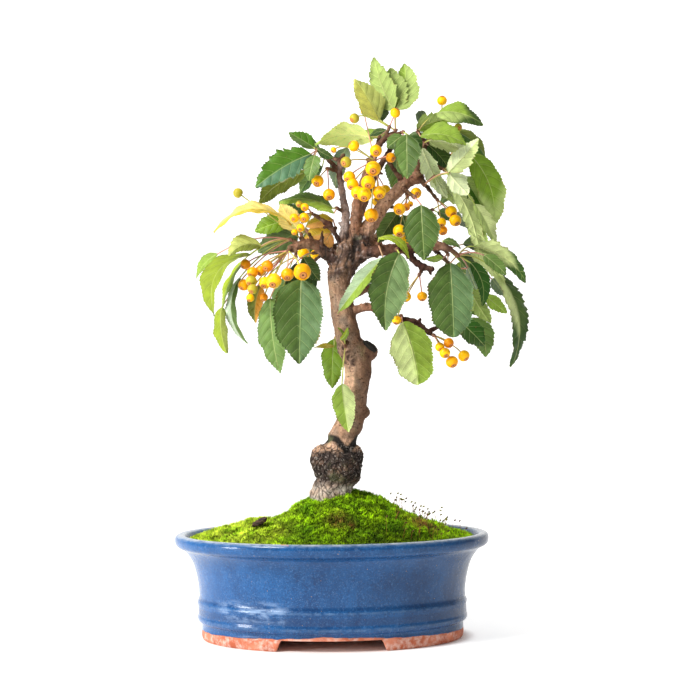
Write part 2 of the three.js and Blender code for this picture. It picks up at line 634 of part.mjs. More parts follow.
function makeTrunk() {
  const random = seeded(SEED);
  const knots = KNOTS.map(([x, z, y, across, tall]) =>
    solid(new THREE.IcosahedronGeometry(1, across > 10 ? 1 : 0).scale(across, across, tall)
      .translate(...place(x, z, y).toArray())));
  const limbs = Object.values(LIMBS).map((rows) => woodyLimb(rows, rows[0][3] > 7 ? 6 : 5, 0.08, random));
  const twigs = [...SPRAYS.map((row) => row.slice(2, 4)), ...BUNCHES.map((row) => row.slice(1, 3))];
  show("trunk", "bark", fuse([
    woodyLimb(TRUNK, TRUNK_SIDES, 0.05, random),
    ...knots,
    ...limbs,
    ...twigs.map(([start, at]) => twig(start, at)),
  ]));
}

// ---- pot ------------------------------------------------------------------------------------------------

function ovalRing(halfLength, z, sides) {
  return Array.from({ length: sides }, (_, k) => {
    const angle = (2 * Math.PI * k) / sides;
    return new THREE.Vector3(
      POT_X + halfLength * Math.cos(angle),
      (halfLength - OVAL) * Math.sin(angle),
      z,
    );
  });
}

function oval(profile, sides) {
  return solid(loft(profile.map(([halfLength, z]) => ovalRing(halfLength, z, sides))));
}

function makePot() {
  const foot = FOOT_HALF_LENGTH - FOOT_WIDTH;
  const under = oval([[foot, -PAST], [foot, FOOT_HEIGHT]], POT_SIDES);
  const arch = [
    [-FEET_APART_BELOW / 2, -PAST], [FEET_APART_BELOW / 2, -PAST],
    [FEET_APART_ABOVE / 2, FOOT_HEIGHT], [-FEET_APART_ABOVE / 2, FOOT_HEIGHT],
  ].map(([x, z]) => new THREE.Vector2(x, z));
  const depth = 2 * RIM_HALF_LENGTH;
  const passage = new THREE.ExtrudeGeometry(new THREE.Shape(arch), { depth, bevelEnabled: false })
    .rotateX(Math.PI / 2)
    .translate(POT_X, depth / 2, 0);
  const drains = [-DRAIN_X, DRAIN_X].map((x) => {
    const hole = new THREE.CylinderGeometry(DRAIN_RADIUS, DRAIN_RADIUS, 2 * FLOOR_TOP, DRAIN_SIDES);
    return solid(hole.rotateX(Math.PI / 2).translate(POT_X + x, 0, FLOOR_TOP));
  });
  const hollow = fuse([oval(INSIDE, POT_SIDES), under, solid(passage), ...drains]);
  show("pot", "glaze", oval(OUTSIDE, POT_SIDES).subtract(hollow));
}

// The square of mesh over a drain, and the bent wire that goes down through it and holds it from below.
function makeDrain(side, x) {
  const pitch = (MESH_SIDE - MESH_BAR) / MESH_HOLES;
  const hole = pitch - MESH_BAR;
  const level = FLOOR_TOP + GAP + MESH_THICK / 2;
  const sheet = solid(new THREE.BoxGeometry(MESH_SIDE, MESH_SIDE, MESH_THICK).translate(x, 0, level));
  const steps = Array.from({ length: MESH_HOLES }, (_, i) => (i - (MESH_HOLES - 1) / 2) * pitch);
  const holes = steps.flatMap((u) => steps.map((v) =>
    solid(new THREE.BoxGeometry(hole, hole, 4 * MESH_THICK).translate(x + u, v, level))));
  show(`drainage_mesh_${side}`, "mesh", sheet.subtract(fuse(holes)));

  const top = FLOOR_TOP + GAP + MESH_THICK + GAP + WIRE_RADIUS;
  const below = FOOT_HEIGHT - GAP - WIRE_RADIUS;
  const path = [
    [-WIRE_TAIL, below], [-WIRE_LEG, below], [-WIRE_LEG, top],
    [WIRE_LEG, top], [WIRE_LEG, below], [WIRE_TAIL, below],
  ].map(([u, z]) => new THREE.Vector3(x + u, 0, z));
  show(`mesh_clip_${side}`, "wire", limb(path, path.map(() => WIRE_RADIUS), WIRE_SIDES));
}

// ---- soil and moss --------------------------------------------------------------------------------------

// Height of the moss: a low rise over the whole pot and a steeper one round the stem.
function mossHeight(x, y) {
  const far = Math.hypot((x - POT_X) / 108, y / 84);
  const near = Math.hypot((x - MOUND_X) / 44, y / 40);
  const swell = MOSS_SWELL * (1 - Math.min(1, far) ** 2);
  return MOSS_EDGE + swell + (MOUND_TOP - MOSS_EDGE - MOSS_SWELL) * Math.exp(-(near ** 2));
}

// Rings from inside the stem's hole out to the pot's wall, at the height that `height` gives.
function ground(halfLength, height) {
  return [0, 0.22, 0.6, 1].map((share) =>
    Array.from({ length: SOIL_SIDES }, (_, k) => {
      const angle = (2 * Math.PI * k) / SOIL_SIDES;
      const outer = new THREE.Vector2(halfLength * Math.cos(angle), (halfLength - OVAL) * Math.sin(angle));
      const at = new THREE.Vector2(Math.cos(angle), Math.sin(angle))
        .multiplyScalar(STUB_RADIUS - 5)
        .add(new THREE.Vector2(STEM_X - POT_X, 0))
        .lerp(outer, share);
      return new THREE.Vector3(POT_X + at.x, at.y, height(POT_X + at.x, at.y));
    }));
}

function makeGround() {
  const foot = TRUNK.slice(0, 4).map(([x, z, y, radius]) => [x, z, y, radius + HOLE_CLEARANCE]);
  foot[0][1] -= PAST;
  const hole = woodyLimb(foot, TRUNK_SIDES);

  // the moss's underside and the soil's bed are one surface, GAP apart
  const bed = (drop) => ground(SOIL_HALF_LENGTH, (x, y) => mossHeight(x, y) - MOSS_THICK - drop);
  const top = ground(MOSS_HALF_LENGTH, mossHeight).reverse();
  show("moss", "moss", solid(loft([...bed(0), ...top])).subtract(hole));

  const above = solid(loft([...bed(GAP), ...ground(SOIL_HALF_LENGTH, () => 2 * MOUND_TOP).reverse()]));
  const wall = INSIDE.slice(0, -1)
    .map(([halfLength, z]) => ovalRing(halfLength - 2 * GAP, Math.max(z, FLOOR_TOP + GAP), SOIL_SIDES));
  const brim = [SOIL_SHOULDER, MOUND_TOP].map((z) => ovalRing(SOIL_HALF_LENGTH - PAST, z, SOIL_SIDES));
  const pockets = [-DRAIN_X, DRAIN_X].map((x) => {
    const pocket = new THREE.BoxGeometry(MESH_SIDE + PAST, MESH_SIDE + PAST, 8 * MESH_THICK);
    return solid(pocket.translate(POT_X + x, 0, FLOOR_TOP - PAST));
  });
  show("soil", "soil", solid(loft([...wall, ...brim])).subtract(fuse([above, hole, ...pockets])));
}

function makeBarkFlake() {
  const { x, y, rise, half, tilt } = FLAKE;
  const flake = new THREE.IcosahedronGeometry(1, 0)
    .scale(...half)
    .rotateY(tilt)
    .translate(x, y, mossHeight(x, y) + rise);
  show("bark_flake", "flake", solid(flake));
}

makePot();
makeDrain("left", POT_X - DRAIN_X);
makeDrain("right", POT_X + DRAIN_X);
makeGround();
makeBarkFlake();
makeTrunk();
makeSprays();
makeBunches();

export default bonsai;
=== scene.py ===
"""A crabapple bonsai in a blue oval pot, finished over the frame's parts.

The tables are in millimetres. The crown is laid out as an elevation: x and z as seen from EYE, in the
upright plane through the trunk, and y as the depth of the point. place() carries a point along its line
of sight. Everything made is in metres.
"""

import math
from collections import namedtuple

import bpy
import numpy as np
from mathutils import Matrix, Vector, noise


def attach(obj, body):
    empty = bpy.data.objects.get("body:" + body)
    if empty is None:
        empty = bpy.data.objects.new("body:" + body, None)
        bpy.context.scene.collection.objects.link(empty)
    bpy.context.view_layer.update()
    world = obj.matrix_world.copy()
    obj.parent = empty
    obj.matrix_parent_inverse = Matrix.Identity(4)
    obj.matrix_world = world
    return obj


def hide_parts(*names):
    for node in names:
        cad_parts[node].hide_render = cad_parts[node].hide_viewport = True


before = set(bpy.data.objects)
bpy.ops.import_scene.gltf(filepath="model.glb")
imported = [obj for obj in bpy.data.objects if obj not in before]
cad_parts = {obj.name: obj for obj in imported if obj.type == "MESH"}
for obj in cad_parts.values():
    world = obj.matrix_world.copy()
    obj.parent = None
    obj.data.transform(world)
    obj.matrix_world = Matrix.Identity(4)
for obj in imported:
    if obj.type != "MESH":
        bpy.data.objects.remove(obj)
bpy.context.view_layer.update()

MM = 0.001
EYE = Vector((-1.3, -1200, 199))
SEED = 41
random = np.random.default_rng(SEED)


# ---- shader graphs --------------------------------------------------------------------------------------


class Wire:
    """An output of a shader graph. An expression on wires adds the Math nodes that work it out."""

    def __init__(self, paint, socket):
        self.paint = paint
        self.socket = socket

    def __add__(self, other):
        return self.paint.math("ADD", self, other)

    __radd__ = __add__

    def __mul__(self, other):
        return self.paint.math("MULTIPLY", self, other)

    __rmul__ = __mul__

    def __sub__(self, other):
        return self.paint.math("SUBTRACT", self, other)

    def __rsub__(self, other):
        return self.paint.math("SUBTRACT", other, self)

    def __truediv__(self, other):
        return self.paint.math("DIVIDE", self, other)

    def __rtruediv__(self, other):
        return self.paint.math("DIVIDE", other, self)

    def abs(self):
        return self.paint.math("ABSOLUTE", self)

    def fract(self):
        return self.paint.math("FRACT", self)

    def most(self, other):
        return self.paint.math("MAXIMUM", self, other)

    def rise(self, low, high):
        """0 below low, 1 above high, and a smooth step between them."""
        sockets = {"Value": self, 1: low, 2: high}
        return self.paint.node("ShaderNodeMapRange", {"interpolation_type": "SMOOTHSTEP"}, sockets)

    def fall(self, low, high):
        return 1 - self.rise(low, high)

    def part(self, axis):
        """One part of a vector: 0, 1 or 2."""
        return self.paint.node("ShaderNodeSeparateXYZ", {}, {0: self}, axis)


class Paint:
    """One material and the nodes that make it."""

    def __init__(self, name):
        self.material = bpy.data.materials.new(name)
        self.material.use_nodes = True
        self.tree = self.material.node_tree
        self.tree.nodes.clear()

    def node(self, kind, settings, sockets, output=0):
        made = self.tree.nodes.new(kind)
        for name, value in settings.items():
            setattr(made, name, value)
        for key, value in sockets.items():
            if isinstance(value, Wire):
                self.tree.links.new(value.socket, made.inputs[key])
            else:
                made.inputs[key].default_value = value
        return Wire(self, made.outputs[output])

    def math(self, operation, *values):
        return self.node("ShaderNodeMath", {"operation": operation}, dict(enumerate(values)))

    def spot(self):
        """The place of a point, in metres from the object's origin."""
        return self.node("ShaderNodeTexCoord", {}, {}, 3)

    def stretched(self, x, y, z):
        """The place of a point, with each axis scaled to draw a pattern out or in along it."""
        sockets = {0: self.spot(), 1: (x, y, z)}
        return self.node("ShaderNodeVectorMath", {"operation": "MULTIPLY"}, sockets)

    def value(self, name):
        """A number kept at each point of the mesh."""
        return self.node("ShaderNodeAttribute", {"attribute_name": name}, {}, 2)

    def colour(self, name):
        """A colour kept at each point of the mesh."""
        return self.node("ShaderNodeAttribute", {"attribute_name": name}, {}, 0)

    def noise(self, scale, detail, roughness=0.55, at=None):
        sockets = {"Vector": at or self.spot(), "Scale": scale, "Detail": detail, "Roughness": roughness}
        return self.node("ShaderNodeTexNoise", {}, sockets)

    def cells(self, scale, feature, at=None):
        sockets = {"Vector": at or self.spot(), "Scale": scale}
        return self.node("ShaderNodeTexVoronoi", {"feature": feature}, sockets)

    def mix(self, first, second, share):
        """A colour between two: the first at share 0 and the second at 1."""
        sockets = {6: shade(first), 7: shade(second), 0: share}
        return self.node("ShaderNodeMix", {"data_type": "RGBA"}, sockets, 2)

    def coats(self, colour, *coats):
        """A colour with others laid over it in turn. Each coat is a colour and its share."""
        for other, share in coats:
            colour = self.mix(colour, other, share)
        return colour

    def scaled(self, colour, by):
        """A colour made darker or lighter."""
        return self.node("ShaderNodeVectorMath", {"operation": "SCALE"}, {0: colour, 3: by})

    def bump(self, height, depth):
        """A normal bent by a height that runs from 0 to 1 over depth, in millimetres."""
        return self.node("ShaderNodeBump", {}, {"Height": height, "Distance": depth * MM, "Strength": 1.0})

    def surface(self, sockets):
        return self.node("ShaderNodeBsdfPrincipled", {}, sockets)

    def finish(self, shader):
        output = self.tree.nodes.new("ShaderNodeOutputMaterial")
        self.tree.links.new(shader.socket, output.inputs[0])
        return self.material


def shade(colour):
    """A colour for a socket: a wire as it is, and #rrggbb as linear red, green, blue and alpha."""
    if isinstance(colour, Wire):
        return colour
    return (*linear(colour), 1)


def linear(colour):
    """The linear red, green and blue of a #rrggbb colour."""
    parts = [int(colour[i:i + 2], 16) / 255 for i in (1, 3, 5)]
    return [p / 12.92 if p <= 0.04045 else ((p + 0.055) / 1.055) ** 2.4 for p in parts]


# ---- building meshes ------------------------------------------------------------------------------------


class Form:
    """The points and faces of one piece, in millimetres, with colours and numbers kept at each point."""

    def __init__(self):
        self.points = []
        self.faces = []
        self.paints = []
        self.values = {}
        self.count = 0

    def add(self, points, faces, paint=0, **values):
        """Adds a shape. paint is its material's number, and each value is one for all or one a point."""
        points = np.asarray(points, float).reshape(-1, 3)
        for name, value in values.items():
            value = np.asarray(value, float)
            if not value.ndim or len(value) != len(points):
                value = np.broadcast_to(value, (len(points), *value.shape))
            self.values.setdefault(name, []).append((self.count, value))
        self.points.append(points)
        self.faces += [[corner + self.count for corner in face] for face in faces]
        self.paints += [paint] * len(faces)
        self.count += len(points)

    def mesh(self, name):
        made = bpy.data.meshes.new(name)
        made.from_pydata((np.concatenate(self.points) * MM).tolist(), [], self.faces)
        made.polygons.foreach_set("material_index", self.paints)
        made.polygons.foreach_set("use_smooth", [True] * len(self.faces))
        for key, pieces in self.values.items():
            wide = pieces[0][1].ndim > 1
            full = np.zeros((self.count, 4) if wide else self.count)
            for start, part in pieces:
                if wide:
                    full[start:start + len(part), :3] = part
                    full[start:start + len(part), 3] = 1
                else:
                    full[start:start + len(part)] = part
            kept = made.attributes.new(key, "FLOAT_COLOR" if wide else "FLOAT", "POINT")
            kept.data.foreach_set("color" if wide else "value", full.ravel())
        made.update()
        return made

    def piece(self, name, materials):
        made = bpy.data.objects.new(name, self.mesh(name))
        bpy.context.scene.collection.objects.link(made)
        for material in materials:
            made.data.materials.append(material)
        return made


def deliver(piece, slot, *nodes):
    """A finished piece: it rides on the one body and stands for CAD nodes, which it hides. Its slot is not
    used.
    """
    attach(piece, "root")
    if nodes:
        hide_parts(*nodes)


def place(x, z, y):
    """A point of the layout, carried along its line of sight to its own depth."""
    reach = 1 - y / EYE.y
    return Vector((EYE.x + (x - EYE.x) * reach, y, EYE.z + (z - EYE.z) * reach))


def unit(v):
    return v / np.maximum(np.linalg.norm(v, axis=-1, keepdims=True), 1e-12)


def strips(rows, columns, closed=False):
    """Four-sided faces between rows of points that follow each other."""
    span = columns if closed else columns - 1
    i, k = np.meshgrid(np.arange(rows - 1), np.arange(span), indexing="ij")
    a = i * columns + k
    b = i * columns + (k + 1) % columns
    return np.stack([a, b, b + columns, a + columns], -1).reshape(-1, 4).tolist()


def caps(rows, sides):
    """Three-sided faces from two end points, which come after the rows, to the first and last row."""
    k = np.arange(sides)
    after = (k + 1) % sides
    last = (rows - 1) * sides
    end = rows * sides
    near = np.stack([np.full(sides, end), after, k], -1)
    far = np.stack([np.full(sides, end + 1), last + k, last + after], -1)
    return near.tolist() + far.tolist()


def smooth_path(rows, step):
    """Points along a smooth curve through rows, about step apart. Each column is carried the same way."""
    rows = np.asarray(rows, float)
    padded = np.vstack([2 * rows[0] - rows[1], rows, 2 * rows[-1] - rows[-2]])
    made = []
    for a, b, c, d in zip(padded, padded[1:], padded[2:], padded[3:]):
        count = max(2, int(np.linalg.norm((c - b)[:3]) / step))
        t = np.linspace(0, 1, count, endpoint=False)[:, None]
        made.append(0.5 * (2 * b + (c - a) * t + (2 * a - 5 * b + 4 * c - d) * t ** 2
                           + (3 * b - a - 3 * c + d) * t ** 3))
    return np.vstack([*made, rows[-1:]])


def bezier(start, bend, end, t):
    t = np.asarray(t, float)[:, None]
    start, bend, end = (np.asarray(p, float) for p in (start, bend, end))
    return (1 - t) ** 2 * start + 2 * t * (1 - t) * bend + t ** 2 * end


def rings(path, radii, sides):
    """Rings of points round a path that don't twist along it."""
    path = np.asarray(path, float)
    along = unit(np.gradient(path, axis=0))
    across = unit(np.cross(along[0], (0.31, 1, 0.17)))
    angles = 2 * math.pi * np.arange(sides) / sides
    made = []
    for point, direction, radius in zip(path, along, radii):
        across = unit(across - direction * across.dot(direction))
        other = np.cross(direction, across)
        circle = np.cos(angles)[:, None] * across + np.sin(angles)[:, None] * other
        made.append(point + circle * np.asarray(radius).reshape(-1, 1))
    return np.asarray(made)


def closed(hoops, ends):
    """The points and faces of a skin through rings of points, closed over a point at each end."""
    rows, sides = hoops.shape[:2]
    return np.vstack([hoops.reshape(-1, 3), ends]), strips(rows, sides, True) + caps(rows, sides)


def add_tube(form, path, radii, sides, paint=0, **values):
    """A round closed tube. A value may be one for each row of the path."""
    path = np.asarray(path, float)
    rows = len(path)
    points, faces = closed(rings(path, radii, sides), path[[0, -1]])
    for name, value in values.items():
        value = np.asarray(value, float)
        if value.ndim and len(value) == rows:
            values[name] = np.concatenate([np.repeat(value, sides, 0), value[[0, -1]]])
    form.add(points, faces, paint, **values)


def wobble(points, size, seed):
    """Soft noise from -1 to 1 at each point, with bumps about size across."""
    offset = Vector((seed * 17.3, seed * 5.1, seed * 9.7))
    return np.array([noise.noise(Vector(p) / size + offset) for p in np.asarray(points)])


def window(value, low, high, soft):
    """1 between low and high, falling to 0 over soft on each side."""
    return np.clip((value - low) / soft + 1, 0, 1) * np.clip((high - value) / soft + 1, 0, 1)


def blend(colour, other, share):
    """Tints moved towards another by a share at each point."""
    return colour + (other - colour) * share[:, None]


# ---- layout of the tree, in millimetres -----------------------------------------------------------------

# trunk and limbs: [x, z, y, radius] from the root end on
TRUNK = [
    [-17.5, 34, 0, 12], [-17.5, 108, 0, 17], [-16, 115, 0, 16], [-14, 121, 0, 14.6],
    [-13, 128, 0, 17.6], [-11, 141, 0, 18.6], [-9.5, 149, 0, 15], [-8.5, 155, 0, 12.6], [-1.4, 172, 0, 10.8],
    [3, 196, 0, 10.2], [5, 212, 0, 10.8], [3.4, 223, 0, 11.6], [-1.6, 233, 0, 10.6], [-6.6, 260, 0, 9.6],
    [-9.6, 281, 0, 9.2], [-8.6, 290, 0, 10.6], [-4.5, 298, 0, 12], [-0.5, 306, 1, 10.5], [2, 315, 1, 7],
]

LIMBS = {
    "left": [
        [-5, 296, 0, 8], [-13, 300, -3, 6.2], [-21, 307, -6, 5], [-29, 313, -9, 4.4], [-37, 313.5, -12, 3.8],
        [-44, 311, -15, 3],
    ],
    "knobbly": [
        [-2, 308, 2, 4], [-7, 312, 3, 2.4], [-13, 322, 4, 1.9], [-17, 328, 4, 2.3], [-25, 334.5, 4, 1.4],
    ],
    "thorn": [[-23.5, 309, -7, 2.6], [-22.8, 317, -8, 1.8], [-22.4, 324, -8, 1]],
    "upright": [
        [-3, 306, 3, 6], [-5.3, 316, 6, 4], [-3.7, 336, 9, 3.2], [-6, 352, 10, 2.8], [-8.5, 372, 10, 2.4],
        [-5, 386, 12, 1.8],
    ],
    "middle": [
        [2, 306, 0, 8], [3.5, 320, 0, 5], [5, 340, -1, 4.3], [9, 356, -1, 4], [16, 376, 0, 3.2],
        [24, 393, 2, 2.6], [32, 400, 4, 2],
    ],
    "right": [
        [3, 304, 0, 9], [8, 316, 2, 7], [16, 328, 5, 6.2], [27, 344, 9, 5.2], [43, 360, 14, 4.8],
        [51, 365, 16, 5], [58, 364, 17, 3.4],
    ],
    "rightTwig": [[43, 361, 14, 2.4], [38.7, 368, 12, 1.8], [33, 376, 10, 1.6], [29, 381, 8, 1.2]],
    "upperRight": [[51, 365, 16, 4], [56, 376, 24, 3], [62, 391, 28, 2.4], [68, 400, 26, 1.8]],
    "level": [
        [4, 302, -2, 8], [14, 306, -8, 5], [27, 308, -14, 4.4], [42, 309, -20, 4], [55, 309.6, -24, 3.8],
        [70, 311, -27, 3.4], [80, 308, -29, 2.4],
    ],
    "hanging": [[46, 308, -21, 2.8], [51, 299, -22, 2.6], [59, 294, -24, 2.4], [67, 292, -26, 1.8]],
    "low": [
        [-5, 258, 0, 5], [3, 260, -3, 3.4], [15, 262.4, -8, 3.2], [27, 258, -14, 3], [39, 252, -18, 3],
        [52, 249, -22, 2.8], [61, 242, -24, 1.8],
    ],
    "backLeft": [[-4, 300, 4, 7], [-14, 310, 24, 3.2], [-28, 320, 48, 2.3], [-40, 326, 66, 1.7]],
    "backRight": [[4, 302, 6, 7], [20, 316, 30, 4.6], [40, 330, 52, 3.6], [60, 338, 64, 2.2]],
    "backTop": [[0, 312, 8, 5], [8, 340, 26, 4], [20, 368, 40, 3], [32, 388, 46, 1.8]],
    "backLow": [[-6, 270, 4, 5], [10, 276, 22, 3.2], [22, 280, 44, 2.4], [30, 282, 58, 1.6]],
}

KNOBBLY_LIMBS = ("knobbly", "hanging", "low")  # these carry many short dead spurs

# knots, burrs and the pruned stub: [x, z, y, radius across, radius along z]
KNOTS = [
    [-22, 141, -4, 11, 12], [-3, 143, 0, 11, 11], [-8, 131, -9, 10, 8], [-15, 133, 8, 11, 9],
    [-4, 127, 4, 9, 7], [12, 227, 0, 9, 8.5], [10, 178, 0, 4.4, 5], [-3, 308, -3, 9, 8],
    [8, 310, -3, 7.4, 8], [54, 366, 15, 6, 5], [-17, 329, 4, 2.9, 3.2], [-47, 310, -15, 4, 3.4],
    [58, 294, -24, 3.6, 3.2], [45, 250, -20, 4, 3.6],
]

# A leaf: its base and tip, its width, how far its blade is turned about its length in degrees, how far its
# middle swings to the side and arches in hundredths of its length, and the tints of its two halves and tip.
# The first tint is on the half that lies to the left, or above in a leaf that lies level.
LEAF_FIELDS = "base_x base_z tip_x tip_z base_y tip_y width turn sway arch first second far"
Leaf = namedtuple("Leaf", LEAF_FIELDS, defaults=[None])

